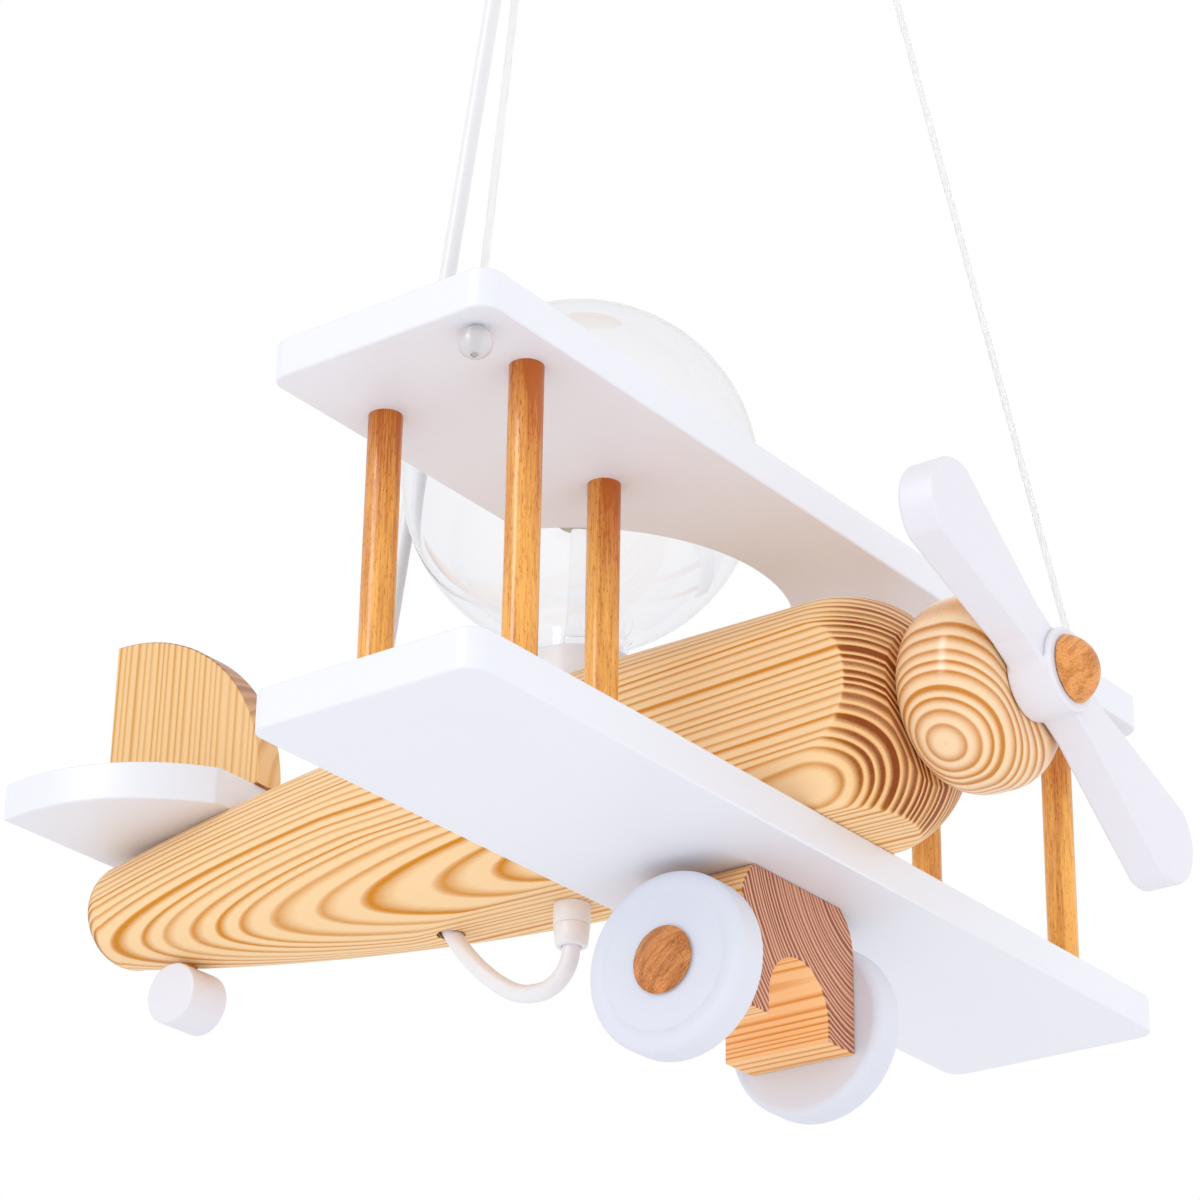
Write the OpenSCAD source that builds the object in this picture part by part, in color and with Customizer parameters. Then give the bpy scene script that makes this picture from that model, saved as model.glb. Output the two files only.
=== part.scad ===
// Biplane pendant lamp.
// A turned pine fuselage on a painted lower wing, an upper wing on six dowel
// struts with a round notch for a clear globe bulb, a two-bladed propeller, two
// wheels on an arched gear block, and a tail. It hangs from a wooden ceiling
// rose by two clear lines and its own power cable.
// Frame: origin in the middle of the rose's ceiling face, +X to the nose,
// +Y to the left wing tip, +Z up. Sizes are in millimetres.
// The airframe has its own zero: mid-chord of the wings, on the centre plane,
// at the lower wing's underside.

/* [Suspension] */
// Height of the ceiling above the lower wing's underside
hang_drop = 620; // [560:5:900]
// Distance from the wings' mid-chord back to the middle of the rose
rose_back = 50; // [30:1:70]
// Diameter of the ceiling rose
rose_d = 160; // [150:2:220]
// Thickness of the ceiling rose
rose_t = 20; // [16:1:30]
// Rounding of the rose's lower edge
rose_edge_r = 6; // [2:0.5:10]
// Distance between the two ceiling screws
rose_screw_pitch = 110; // [90:1:130]
// Diameter of the ceiling screw holes
rose_screw_d = 4.5; // [3:0.5:6]
// Diameter of the wiring recess in the rose
recess_d = 44; // [38:1:60]
// Depth of the wiring recess in the rose
recess_depth = 13; // [11:0.5:15]
// Length of the terminal block
terminal_l = 24; // [18:1:28]
// Width of the terminal block
terminal_w = 16; // [12:1:20]
// Height of the terminal block
terminal_h = 10; // [8:0.5:11]
// Diameter of the clear suspension lines
line_d = 2.4; // [1:0.1:4]
// Diameter of the bead that stops each line under the upper wing
bead_d = 10.4; // [8:0.2:14]
// Diameter of the crimp sleeve that stops each line in the rose
sleeve_d = 6; // [4:0.5:8]
// Height of the crimp sleeve
sleeve_h = 6; // [4:0.5:8]
// Diameter of the power cable
cable_d = 6.2; // [5:0.1:8]

/* [Wings] */
// Tip to tip
span = 384; // [350:1:420]
// Front to rear
chord = 84; // [78:1:110]
// Thickness of both wings
wing_t = 13; // [11:0.5:20]
// Clear height between the wings
wing_gap = 102; // [90:1:130]
// Radius of the front wing corners in plan
wing_front_r = 7; // [4:0.5:16]
// Radius of the rear wing corners in plan
wing_rear_r = 6; // [2:0.5:10]
// Free space round the globe in the upper wing's notch
notch_gap = 11.5; // [6:0.5:14]
// Hole of each hanging line, in from the wing tip
line_tip = 10; // [7:0.5:20]
// Hole of each hanging line, ahead of mid-chord
line_fore = 30; // [20:1:33]

/* [Struts] */
// Diameter of the dowel struts
strut_d = 10.7; // [8:0.1:14]
// Depth of the blind strut holes in each wing
strut_seat = 8; // [5:0.5:9]
// Front and rear struts ahead of and behind mid-chord
strut_fore = 27.3; // [22:0.1:32]
// Outer struts from the centre plane
strut_outer = 154; // [130:1:168]
// Inner struts from the centre plane
strut_inner = 78.7; // [70:0.1:100]

/* [Fuselage] */
// Width across the planed flats
body_w = 72; // [66:1:80]
// Turned diameter
body_d = 84.6; // [80:0.2:92]
// Nose face ahead of mid-chord
nose_x = 70; // [64:1:80]
// Length of the rounded nose
nose_len = 28; // [20:1:30]
// Radius of the rounded nose
nose_r = 32; // [30:1:60]
// Tail end behind mid-chord
tail_x = 282.5; // [278:0.5:300]
// Where the tail taper starts behind mid-chord
taper_x = 16; // [10:1:60]
// Radius of the tail end
tail_r = 17.5; // [14:0.5:24]
// Rounding of the tail end
tail_round = 12; // [6:0.5:14]
// Rise of the turned axis from the nose to the tail end
tail_rise = 2; // [0:0.1:4]
// Diameter of the dowels that pin the wing to the fuselage and the gear block
pin_d = 8; // [6:0.5:10]
// Depth of those dowels in the lower wing
pin_seat = 6; // [4:0.5:6]
// Depth of those dowels in the fuselage and the block
pin_grip = 12; // [8:1:16]

/* [Cowl and propeller] */
// Diameter of the barrel-shaped cowl
cowl_d = 63; // [54:0.2:70]
// Length of the cowl
cowl_len = 35.6; // [33:0.2:45]
// Rounding of the cowl's rear edge
cowl_rear_r = 16.5; // [4:0.5:17]
// Rounding of the cowl's front edge
cowl_front_r = 14; // [4:0.5:16]
// Dowel between fuselage and cowl
cowl_dowel_d = 12; // [8:0.5:16]
// Depth of that dowel in each piece
cowl_dowel_seat = 14; // [10:1:15]
// Propeller, tip to tip
prop_len = 170; // [140:1:180]
// Thickness of the propeller at its hub
prop_t = 15.5; // [13:0.5:18]
// Thickness of the blades
blade_t = 12.6; // [9:0.2:12.8]
// Blades ahead of the hub's rear face
blade_set = 0.6; // [0:0.1:1]
// Width of a blade near its tip
blade_w = 30.6; // [22:0.2:34]
// Width of a blade at its root
blade_root_w = 15.2; // [12:0.2:18]
// Where a blade starts to widen
blade_root_x = 20; // [18:0.5:26]
// Diameter of the propeller's hub
hub_d = 27; // [25:0.5:32]
// How far the hub sits from the middle of the propeller
hub_shift = 1.7; // [0:0.1:3]
// Angle of the right blade above level at rest
prop_rest = 28.5; // [0:0.5:90]
// Shank of the propeller peg
prop_peg_d = 8; // [6:0.5:10]
// Depth of that peg in the cowl
prop_peg_seat = 16; // [12:0.5:17]
// Height of the domed head of the propeller peg
prop_peg_h = 8; // [4:0.5:9]

/* [Landing gear] */
// Width of the gear block
block_w = 62.6; // [58:0.2:70]
// Height of the gear block
block_h = 47; // [45:0.5:56]
// Length of the gear block
block_l = 40; // [30:0.5:50]
// Middle of the gear block ahead of mid-chord
gear_x = 0; // [-6:0.5:6]
// Rounding of the block's shoulders
shoulder_r = 17; // [8:0.5:20]
// How far the shoulder curve is cut by the wing
shoulder_cut = 3; // [0:0.5:5]
// Width of the arched tunnel
arch_w = 33; // [24:0.5:36]
// Height of the arched tunnel
arch_h = 22.5; // [18:0.5:26]
// Gear dowels from the centre plane
gear_pin_y = 13; // [8:0.5:16]
// Axle below the lower wing
axle_drop = 34; // [31:0.5:38]
// Diameter of the wheels
wheel_d = 58.6; // [48:0.2:62]
// Width of the wheels
wheel_w = 13.5; // [9:0.5:18]
// Rounding of the wheel's rims
wheel_edge_r = 3; // [1:0.5:5]
// Diameter of the domed peg heads
peg_head_d = 22; // [18:0.5:24]
// Shank of the wheel pegs
axle_d = 9; // [6:0.5:11]
// Depth of a wheel peg in the block
axle_seat = 12; // [8:0.5:13]
// Height of the domed head of a wheel peg
axle_head_h = 3.5; // [2:0.5:6]

/* [Tail] */
// Height of the tailplane's seat above the fuselage axis
tail_seat = 24; // [20:0.5:26]
// Leading edge of the tailplane behind mid-chord
tail_le = 209.5; // [205:0.5:215]
// Chord of the tailplane
tail_chord = 74.5; // [66:0.5:78]
// Greatest width of the tailplane
tail_span = 116; // [100:1:130]
// Radius of the tailplane's curved sides
tail_arc_r = 71.4; // [65:0.2:90]
// Widest place of the tailplane ahead of its trailing edge
tail_widest = 14; // [8:0.5:24]
// Thickness of the tailplane
tail_t = 14; // [10:0.5:16]
// Length of the fin at its foot
fin_l = 76; // [72:0.2:82]
// Height of the fin
fin_h = 73; // [60:0.5:80]
// Thickness of the fin
fin_t = 12.5; // [9:0.5:14]
// Diameter of the dowels through fin, tailplane and fuselage
tail_pin_d = 6; // [4:0.5:8]
// Depth of those dowels in the fin and in the fuselage
tail_pin_grip = 12; // [8:0.5:14]
// Diameter of the tail roller
roller_d = 22.4; // [16:0.2:26]
// Length of the tail roller
roller_l = 18; // [12:0.5:24]
// Tail roller behind mid-chord
roller_x = 242; // [230:1:255]
// Gap between the roller and the fuselage
roller_gap = 1.4; // [0.5:0.1:3]
// Diameter of the pin that holds the roller
roller_pin_d = 6; // [4:0.5:8]
// Depth of that pin in the fuselage
roller_pin_grip = 12; // [8:0.5:16]

/* [Lamp] */
// Diameter of the globe
bulb_d = 125; // [110:1:130]
// Length of the bulb from its contact to its crown
bulb_len = 167.4; // [150:0.2:178]
// Bulb behind mid-chord
bulb_x = 70; // [64:1:76]
// Diameter of the glass neck
neck_d = 35; // [30:0.5:38]
// Wall of the glass
glass_t = 1; // [0.6:0.1:1.5]
// Diameter of the screw cap over its thread
cap_d = 26.6; // [26:0.1:27]
// Length of the screw cap
cap_l = 23; // [20:0.5:25]
// Outside diameter of the lamp holder
holder_d = 42; // [40:0.5:46]
// Height of the lamp holder
holder_h = 54; // [50:0.5:60]
// Depth of the lamp holder in the fuselage
holder_sink = 40; // [34:0.5:44]
// Solid base of the lamp holder
holder_base = 18; // [14:0.5:20]
// Play between the bulb and the holder
bulb_play = 0.5; // [0.3:0.05:0.8]
// Diameter of the cable gland
gland_d = 12.4; // [11:0.2:16]
// Length of the gland below the fuselage
gland_l = 15; // [10:0.5:18]
// Diameter of the gland's shank in the fuselage
gland_thread_d = 10; // [8:0.5:10]
// Length of the gland's shank in the fuselage
gland_thread_l = 12; // [8:0.5:16]

/* [Fits] */
// Radial play of a turning piece on its peg
run_play = 0.06; // [0.02:0.01:0.1]
// Side play of a turning piece
end_play = 0.3; // [0.2:0.05:0.5]

/* [Hidden] */
$fn = 48;
pine = [0.91, 0.71, 0.43];
pine_light = [0.93, 0.77, 0.52];
beech = [0.74, 0.45, 0.22];
white_paint = [0.93, 0.93, 0.95];
white_plastic = [0.92, 0.92, 0.92];
clear = [0.85, 0.9, 0.93, 0.35];
brass = [0.8, 0.66, 0.35];

upper_z = wing_t + wing_gap;
axis_z = wing_t + body_w / 2;
body_top = axis_z + body_w / 2;
prop_back = nose_x + cowl_len + end_play;
prop_front = prop_back + prop_t;
wheel_in = block_w / 2 + end_play;
wheel_out = wheel_in + wheel_w;
seat_z = axis_z + tail_seat;
tail_top = seat_z + tail_t;
tail_te = tail_le + tail_chord;
holder_z = body_top - holder_sink;
contact_h = 3.2;
bulb_z = holder_z + holder_base + contact_h + end_play;
pip_h = 2.6;
cap_z = bulb_z + pip_h;
globe_z = bulb_z + bulb_len - bulb_d / 2;
notch_r = bulb_d / 2 + notch_gap;
// How far the wing's underside cuts into each bead
bead_seat = 0.4;
// How far each line stops short of its bead's lower end
line_stub = 1;
// How far the propeller's hub stands out round the blades' roots
hub_lip = 0.8;
gland_z = wing_t - gland_l;
tail_low = axis_z + tail_rise * (nose_x + roller_x) / (nose_x + tail_x) - taper_radius(roller_x);
roller_z = tail_low - roller_gap - roller_d / 2;
tail_pin_x = [tail_le + 0.25 * tail_chord, tail_le + 0.7 * tail_chord];
wing_pin_x = [-22, 22];

// Places of the struts in plan, right side first
strut_places = [
    [strut_fore, -strut_outer], [-strut_fore, -strut_outer], [0, -strut_inner],
    [strut_fore, strut_outer], [-strut_fore, strut_outer], [0, strut_inner]
];

// The left line: straight from its bead to the rose, then up into its crimp
// sleeve; the right one mirrors it
line_foot = [line_fore, span / 2 - line_tip, upper_z + bead_seat - bead_d + line_stub];
line_head = [-26.5, 66, 596];
line_route = concat(
    [for (t = [0, 0.05, 0.35, 0.7, 1]) line_foot + t * (line_head - line_foot)],
    [[-27, 65, 602], [-27, 65, 612]]
);

// The power cable, from the lamp holder down, round its loop under the body,
// back through the body and up to the terminal block
cable_route = [
    [-70, 0, 52], [-70, 0, 36], [-70, 0, 20], [-70, 0, 6], [-70, 0, -2],
    [-71, 0, -7], [-74, 0, -11.5], [-79, 0, -14.5], [-85, 0, -15],
    [-92, 0, -13.5], [-99, 0, -9.5], [-106, 0, -4], [-113, 0, 3],
    [-119, 0, 10.5], [-124, 0, 19], [-130, 0, 31], [-137, 0, 45],
    [-144, 0, 59], [-151, 0, 73], [-156, 0, 84], [-158.5, 0, 93],
    [-159.5, 0, 102], [-159, 0, 110], [-156.5, 0, 126], [-150.5, 0, 165],
    [-141.5, 0, 224], [-132, 0, 286], [-122.5, 0, 348], [-113, 0, 410],
    [-103.5, 0, 472], [-94, 0, 534], [-86.5, 0, 584], [-84.5, 0, 598],
    [-84, 0, 604], [-84, 0, 610]
];

// Ends of the slanting cable hole in the body
cable_hole = [[-119, 0, 8], [-158, 0, 90]];

// Radius of the turned tail at a distance behind mid-chord: one long arc
function taper_arc() =
    let (run = tail_x - taper_x, drop = body_d / 2 - tail_r)
    (run * run + drop * drop) / (2 * drop);
function taper_radius(x) =
    x <= taper_x ? body_d / 2
    : body_d / 2 - taper_arc() + sqrt(pow(taper_arc(), 2) - pow(x - taper_x, 2));

// Radius of the rounded nose where it meets the cowl
function taper_nose() = body_d / 2 - nose_r + sqrt(nose_r * nose_r - nose_len * nose_len);

function unit(v) = v / norm(v);
function heading(route, i) =
    unit(route[min(i + 1, len(route) - 1)] - route[max(i - 1, 0)]);
function ring(centre, dir, r, sides) =
    let (a = unit(cross([0, 1, 0], dir)), b = cross(dir, a))
    [for (k = [0 : sides - 1])
        centre + r * (cos(360 * k / sides) * a + sin(360 * k / sides) * b)];
function mirrored(route) = [for (p = route) [p[0], -p[1], p[2]]];

// Moves a piece from the airframe's zero to the frame of the whole lamp
module air() translate([rose_back, 0, -hang_drop]) children();

// A tube along a route, as one closed skin of triangles
module tube(route, d, sides) {
    rows = len(route);
    points = [for (i = [0 : rows - 1]) each ring(route[i], heading(route, i), d / 2, sides)];
    walls = [for (i = [0 : rows - 2], k = [0 : sides - 1])
        let (a = i * sides + k, b = i * sides + (k + 1) % sides)
        each [[a, a + sides, b], [b, a + sides, b + sides]]];
    foot = [for (k = [1 : sides - 2]) [0, k, k + 1]];
    head = [for (k = [1 : sides - 2]) (rows - 1) * sides * [1, 1, 1] + [0, k + 1, k]];
    polyhedron(points, concat(walls, foot, head));
}

// A cylinder along +X, from x0 to x1
module rod_x(x0, x1, d) translate([x0, 0, 0]) rotate([0, 90, 0]) cylinder(d = d, h = x1 - x0);

// A peg along +Z with its shank below zero and a domed head above
module domed_peg(shank_d, shank_l, head_d, head_h) {
    sphere_r = (pow(head_d / 2, 2) + pow(head_h, 2)) / (2 * head_h);
    half = asin(head_d / 2 / sphere_r);
    rotate_extrude() polygon(concat(
        [[0, -shank_l], [shank_d / 2, -shank_l], [shank_d / 2, 0], [head_d / 2, 0]],
        [for (i = [1 : 8]) let (a = half * (1 - i / 8))
            [sphere_r * sin(a), head_h - sphere_r + sphere_r * cos(a)]]
    ));
}

module line_bore(side, d) {
    a = line_route[0];
    b = line_route[2];
    route = [[a[0], side * a[1], a[2]], [b[0], side * b[1], b[2]]];
    tilt = heading(route, 0);
    translate(route[0] - 20 * tilt)
        rotate([0, acos(tilt[2]), atan2(tilt[1], tilt[0])])
            cylinder(d = d, h = 90, $fn = 12);
}

module ceiling_rose() {
    color(pine) difference() {
        translate([0, 0, -rose_t]) rotate_extrude($fn = 96) polygon(concat(
            [[0, rose_t], [0, 0]],
            [for (a = [-90 : 15 : 0])
                [rose_d / 2 - rose_edge_r + rose_edge_r * cos(a), rose_edge_r + rose_edge_r * sin(a)]],
            [[rose_d / 2, rose_t]]
        ));
        for (s = [-1, 1]) {
            translate([0, s * rose_screw_pitch / 2, -rose_t - 1]) cylinder(d = rose_screw_d, h = rose_t + 2);
            air() translate([line_route[6][0], s * line_route[6][1], line_route[4][2] - 1]) {
                cylinder(d = line_d + 1, h = 60, $fn = 24);
            }
            translate([line_route[6][0] + rose_back, s * line_route[6][1], -rose_t / 2 - 2])
                cylinder(d = sleeve_d + 3, h = rose_t);
        }
        translate([cable_end()[0] + rose_back, 0, -recess_depth]) cylinder(d = recess_d, h = rose_t);
        translate([cable_end()[0] + rose_back, 0, -rose_t - 1]) cylinder(d = cable_d + 1.2, h = rose_t);
    }
}

function cable_end() = cable_route[len(cable_route) - 1];

module terminal_block() {
    color(white_plastic)
        translate([cable_end()[0] + rose_back, 0, -recess_depth]) difference() {
            translate([-terminal_l / 2, -terminal_w / 2, 0]) cube([terminal_l, terminal_w, terminal_h]);
            translate([0, 0, -1]) cylinder(d = cable_d, h = 1 + cable_end()[2] - (hang_drop - recess_depth));
            for (x = [-1, 1])
                translate([x * terminal_l / 4, 0, terminal_h - 4]) cylinder(d = 5, h = 5, $fn = 24);
        }
}

module line_right() { color(clear) air() tube(mirrored(line_route), line_d, 8); }
module line_left() { color(clear) air() tube(line_route, line_d, 8); }

// Place of the left line at a height, on its straight stretch
function line_at(z) =
    let (a = line_route[0], b = line_route[2]) a + (b - a) * (z - a[2]) / (b[2] - a[2]);

module line_bead(side) {
    place = line_at(upper_z - bead_d / 2 + bead_seat);
    color(clear) air() difference() {
        translate([place[0], side * place[1], place[2]])
            intersection() {
                sphere(d = bead_d, $fn = 32);
                translate([0, 0, -bead_d]) cylinder(d = 2 * bead_d, h = 1.5 * bead_d - bead_seat);
            }
        line_bore(side, line_d);
    }
}
module line_bead_right() { line_bead(-1); }
module line_bead_left() { line_bead(1); }

module line_sleeve(side) {
    color(brass)
        translate([line_route[6][0] + rose_back, side * line_route[6][1], -rose_t / 2 - 2])
            difference() {
                cylinder(d = sleeve_d, h = sleeve_h);
                translate([0, 0, -1]) cylinder(d = line_d, h = sleeve_h + 2, $fn = 24);
            }
}
module line_sleeve_right() { line_sleeve(-1); }
module line_sleeve_left() { line_sleeve(1); }

module power_cable() { color(white_plastic) air() tube(cable_route, cable_d, 12); }

// Plan of a wing, with or without the notch round the globe
module wing_plan(notched) {
    offset(r = wing_rear_r) offset(delta = -wing_rear_r) difference() {
        union() {
            translate([-chord / 2, -span / 2]) square([chord / 2, span]);
            offset(r = wing_front_r) offset(delta = -wing_front_r) square([chord, span], center = true);
        }
        if (notched) translate([-bulb_x, 0]) circle(r = notch_r, $fn = 96);
    }
}

module upper_wing() {
    color(white_paint) air() difference() {
        translate([0, 0, upper_z]) linear_extrude(wing_t) wing_plan(true);
        for (p = strut_places) translate([p[0], p[1], upper_z - 1]) cylinder(d = strut_d, h = strut_seat + 1);
        for (s = [-1, 1]) line_bore(s, line_d + 0.6);
    }
}

module lower_wing() {
    color(white_paint) air() difference() {
        linear_extrude(wing_t) wing_plan(false);
        for (p = strut_places) translate([p[0], p[1], wing_t - strut_seat]) cylinder(d = strut_d, h = strut_seat + 1);
        for (x = wing_pin_x) translate([x, 0, wing_t - pin_seat]) cylinder(d = pin_d, h = pin_seat + 1);
        for (s = [-1, 1]) translate([gear_x, s * gear_pin_y, -1]) cylinder(d = pin_d, h = pin_seat + 1);
    }
}

module strut(i) {
    color(beech) air() translate([strut_places[i][0], strut_places[i][1], wing_t - strut_seat])
        cylinder(d = strut_d, h = wing_gap + 2 * strut_seat);
}
module strut_right_front() { strut(0); }
module strut_right_rear() { strut(1); }
module strut_right_inner() { strut(2); }
module strut_left_front() { strut(3); }
module strut_left_rear() { strut(4); }
module strut_left_inner() { strut(5); }

// Half outline of the turned fuselage: x along the axis, y its radius
module body_outline() {
    steps = 14;
    shoulder = tail_x - tail_round;
    end_r = taper_radius(shoulder) - tail_round;
    polygon(concat(
        [[-tail_x, 0]],
        [for (a = [90 : -15 : 15]) [-shoulder - tail_round * sin(a), end_r + tail_round * cos(a)]],
        [for (i = [0 : steps]) let (x = shoulder + (taper_x - shoulder) * i / steps) [-x, taper_radius(x)]],
        [for (i = [0 : 8]) let (x = nose_len * i / 8)
            [nose_x - nose_len + x, body_d / 2 - nose_r + sqrt(nose_r * nose_r - x * x)]],
        [[nose_x + 1, taper_nose()], [nose_x + 1, 0]]
    ));
}

module fuselage() {
    color(pine) air() difference() {
        intersection() {
            translate([nose_x, 0, axis_z]) rotate([0, 90 + atan(tail_rise / (nose_x + tail_x)), 0])
                rotate_extrude($fn = 96) rotate(90) mirror([0, 1]) translate([-nose_x, 0]) body_outline();
            translate([-tail_x - 1, -body_w / 2, wing_t]) cube([tail_x + nose_x + 1, body_w, body_w]);
        }
        translate([-tail_x - 1, -body_d, seat_z]) cube([tail_x + 1 - tail_le, 2 * body_d, body_d]);
        translate([-bulb_x, 0, holder_z]) cylinder(d = holder_d, h = holder_h);
        translate([-bulb_x, 0, wing_t - 1]) cylinder(d = gland_thread_d, h = gland_thread_l + 1);
        translate([-bulb_x, 0, wing_t - 1]) cylinder(d = cable_d + 1, h = body_w);
        cable_bore();
        translate([0, 0, axis_z]) rod_x(nose_x - cowl_dowel_seat, nose_x + 1, cowl_dowel_d);
        for (x = wing_pin_x) translate([x, 0, wing_t - 1]) cylinder(d = pin_d, h = pin_grip + 1);
        for (x = tail_pin_x) translate([-x, 0, seat_z - tail_pin_grip]) cylinder(d = tail_pin_d, h = tail_pin_grip + 1);
        translate([-roller_x, 0, roller_z]) cylinder(d = roller_pin_d, h = tail_low - roller_z + roller_pin_grip);
    }
}

// Slanting hole that takes the cable from the loop up through the body
module cable_bore() {
    run = cable_hole[1] - cable_hole[0];
    translate(cable_hole[0] - 0.2 * run) rotate([0, atan2(run[0], run[2]), 0])
        cylinder(d = cable_d + 3, h = 1.4 * norm(run));
}

module wing_dowels() {
    color(beech) air() for (x = wing_pin_x)
        translate([x, 0, wing_t - pin_seat]) cylinder(d = pin_d, h = pin_seat + pin_grip);
}

module cowl() {
    color(pine_light) air() difference() {
        translate([nose_x, 0, axis_z]) rotate([0, 90, 0]) rotate_extrude($fn = 96) polygon(concat(
            [[0, 0]],
            [for (a = [-90 : 10 : 0])
                [cowl_d / 2 - cowl_rear_r + cowl_rear_r * cos(a), cowl_rear_r + cowl_rear_r * sin(a)]],
            [for (a = [0 : 10 : 90])
                [cowl_d / 2 - cowl_front_r + cowl_front_r * cos(a), cowl_len - cowl_front_r + cowl_front_r * sin(a)]],
            [[0, cowl_len]]
        ));
        translate([0, 0, axis_z]) rod_x(nose_x - 1, nose_x + cowl_dowel_seat, cowl_dowel_d);
        translate([0, 0, axis_z]) rod_x(nose_x + cowl_len - prop_peg_seat, nose_x + cowl_len + 1, prop_peg_d);
    }
}

module cowl_dowel() {
    color(beech) air() translate([0, 0, axis_z])
        rod_x(nose_x - cowl_dowel_seat, nose_x + cowl_dowel_seat, cowl_dowel_d);
}

// Outline of the propeller, blades along X, with eased corners at the hub
module prop_outline() {
    offset(r = -5) offset(delta = 5) {
        circle(d = hub_d - 2 * hub_lip);
        for (s = [-1, 1]) hull() {
            translate([s * blade_root_x, 0]) circle(d = blade_root_w);
            translate([s * (prop_len - blade_w) / 2 + hub_shift, 0]) circle(d = blade_w);
        }
    }
}

module propeller() {
    color(white_paint) air() translate([prop_back, 0, axis_z]) rotate([-prop_rest, 0, 0]) rotate([90, 0, 90])
        difference() {
            union() {
                translate([0, 0, blade_set]) linear_extrude(blade_t) prop_outline();
                cylinder(d = hub_d, h = prop_t);
            }
            translate([0, 0, -1]) cylinder(d = prop_peg_d + 2 * run_play, h = prop_t + 2);
        }
}

module propeller_peg() {
    color(beech) air() translate([prop_front + end_play, 0, axis_z]) rotate([0, 90, 0])
        domed_peg(prop_peg_d, prop_t + 2 * end_play + prop_peg_seat, peg_head_d, prop_peg_h);
}

// Face of the gear block: y across, z down from the wing
module block_face() {
    difference() {
        intersection() {
            translate([0, -block_h / 2]) square([block_w, block_h], center = true);
            union() {
                hull() for (s = [-1, 1])
                    translate([s * (block_w / 2 - shoulder_r), shoulder_cut - shoulder_r]) circle(r = shoulder_r, $fn = 64);
                translate([0, shoulder_cut - shoulder_r - block_h / 2]) square([block_w, block_h], center = true);
            }
        }
        translate([0, -block_h + arch_h - arch_w / 2]) circle(d = arch_w, $fn = 64);
        translate([-arch_w / 2, -block_h - 1]) square([arch_w, arch_h - arch_w / 2 + 1]);
    }
}

module gear_block() {
    color(pine) air() translate([gear_x, 0, 0]) difference() {
        translate([-block_l / 2, 0, 0]) rotate([90, 0, 90]) linear_extrude(block_l) block_face();
        for (s = [-1, 1]) {
            translate([0, s * gear_pin_y, -pin_grip]) cylinder(d = pin_d, h = pin_grip + 1);
            translate([0, s * (block_w / 2 - axle_seat), -axle_drop]) rotate([-s * 90, 0, 0])
                cylinder(d = axle_d, h = axle_seat + 1);
        }
    }
}

module gear_dowels() {
    color(beech) air() for (s = [-1, 1])
        translate([gear_x, s * gear_pin_y, -pin_grip]) cylinder(d = pin_d, h = pin_grip + pin_seat);
}

// A wheel, turned with rounded rims; its axis runs out from the block
module wheel(side) {
    color(white_paint) air() translate([gear_x, side * wheel_in, -axle_drop]) rotate([-side * 90, 0, 0])
        rotate_extrude($fn = 96) polygon(concat(
            [[axle_d / 2 + run_play, 0]],
            [for (a = [-90 : 15 : 0])
                [wheel_d / 2 - wheel_edge_r + wheel_edge_r * cos(a), wheel_edge_r + wheel_edge_r * sin(a)]],
            [for (a = [0 : 15 : 90])
                [wheel_d / 2 - wheel_edge_r + wheel_edge_r * cos(a), wheel_w - wheel_edge_r + wheel_edge_r * sin(a)]],
            [[axle_d / 2 + run_play, wheel_w]]
        ));
}
module wheel_right() { wheel(-1); }
module wheel_left() { wheel(1); }

module axle_peg(side) {
    color(beech) air() translate([gear_x, side * (wheel_out + end_play), -axle_drop]) rotate([-side * 90, 0, 0])
        domed_peg(axle_d, wheel_w + 2 * end_play + axle_seat, peg_head_d, axle_head_h);
}
module axle_peg_right() { axle_peg(-1); }
module axle_peg_left() { axle_peg(1); }

module tailplane() {
    color(white_paint) air() difference() {
        translate([0, 0, seat_z]) linear_extrude(tail_t) intersection() {
            translate([-tail_te, -tail_span]) square([tail_chord, 2 * tail_span]);
            translate([tail_widest - tail_te, tail_arc_r - tail_span / 2]) circle(r = tail_arc_r, $fn = 128);
            translate([tail_widest - tail_te, tail_span / 2 - tail_arc_r]) circle(r = tail_arc_r, $fn = 128);
        }
        for (x = tail_pin_x) translate([-x, 0, seat_z - 1]) cylinder(d = tail_pin_d, h = tail_t + 2);
    }
}

module fin() {
    color(pine_light) air() difference() {
        translate([-tail_te, fin_t / 2, tail_top]) rotate([90, 0, 0]) linear_extrude(fin_t) intersection() {
            scale([fin_l, fin_h]) circle(r = 1, $fn = 96);
            square([fin_l + 1, fin_h + 1]);
        }
        for (x = tail_pin_x) translate([-x, 0, tail_top - 1]) cylinder(d = tail_pin_d, h = tail_pin_grip + 1);
    }
}

module tail_dowels() {
    color(beech) air() for (x = tail_pin_x)
        translate([-x, 0, seat_z - tail_pin_grip]) cylinder(d = tail_pin_d, h = tail_t + 2 * tail_pin_grip);
}

module tail_roller() {
    color(white_paint) air() translate([-roller_x, 0, roller_z]) difference() {
        rotate([90, 0, 0]) cylinder(d = roller_d, h = roller_l, center = true);
        cylinder(d = roller_pin_d, h = roller_d);
    }
}

module roller_pin() {
    color(beech) air() translate([-roller_x, 0, roller_z])
        cylinder(d = roller_pin_d, h = tail_low - roller_z + roller_pin_grip);
}

// Everything on the bulb's upright axis
module lamp_axis() air() translate([-bulb_x, 0, 0]) children();

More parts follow.
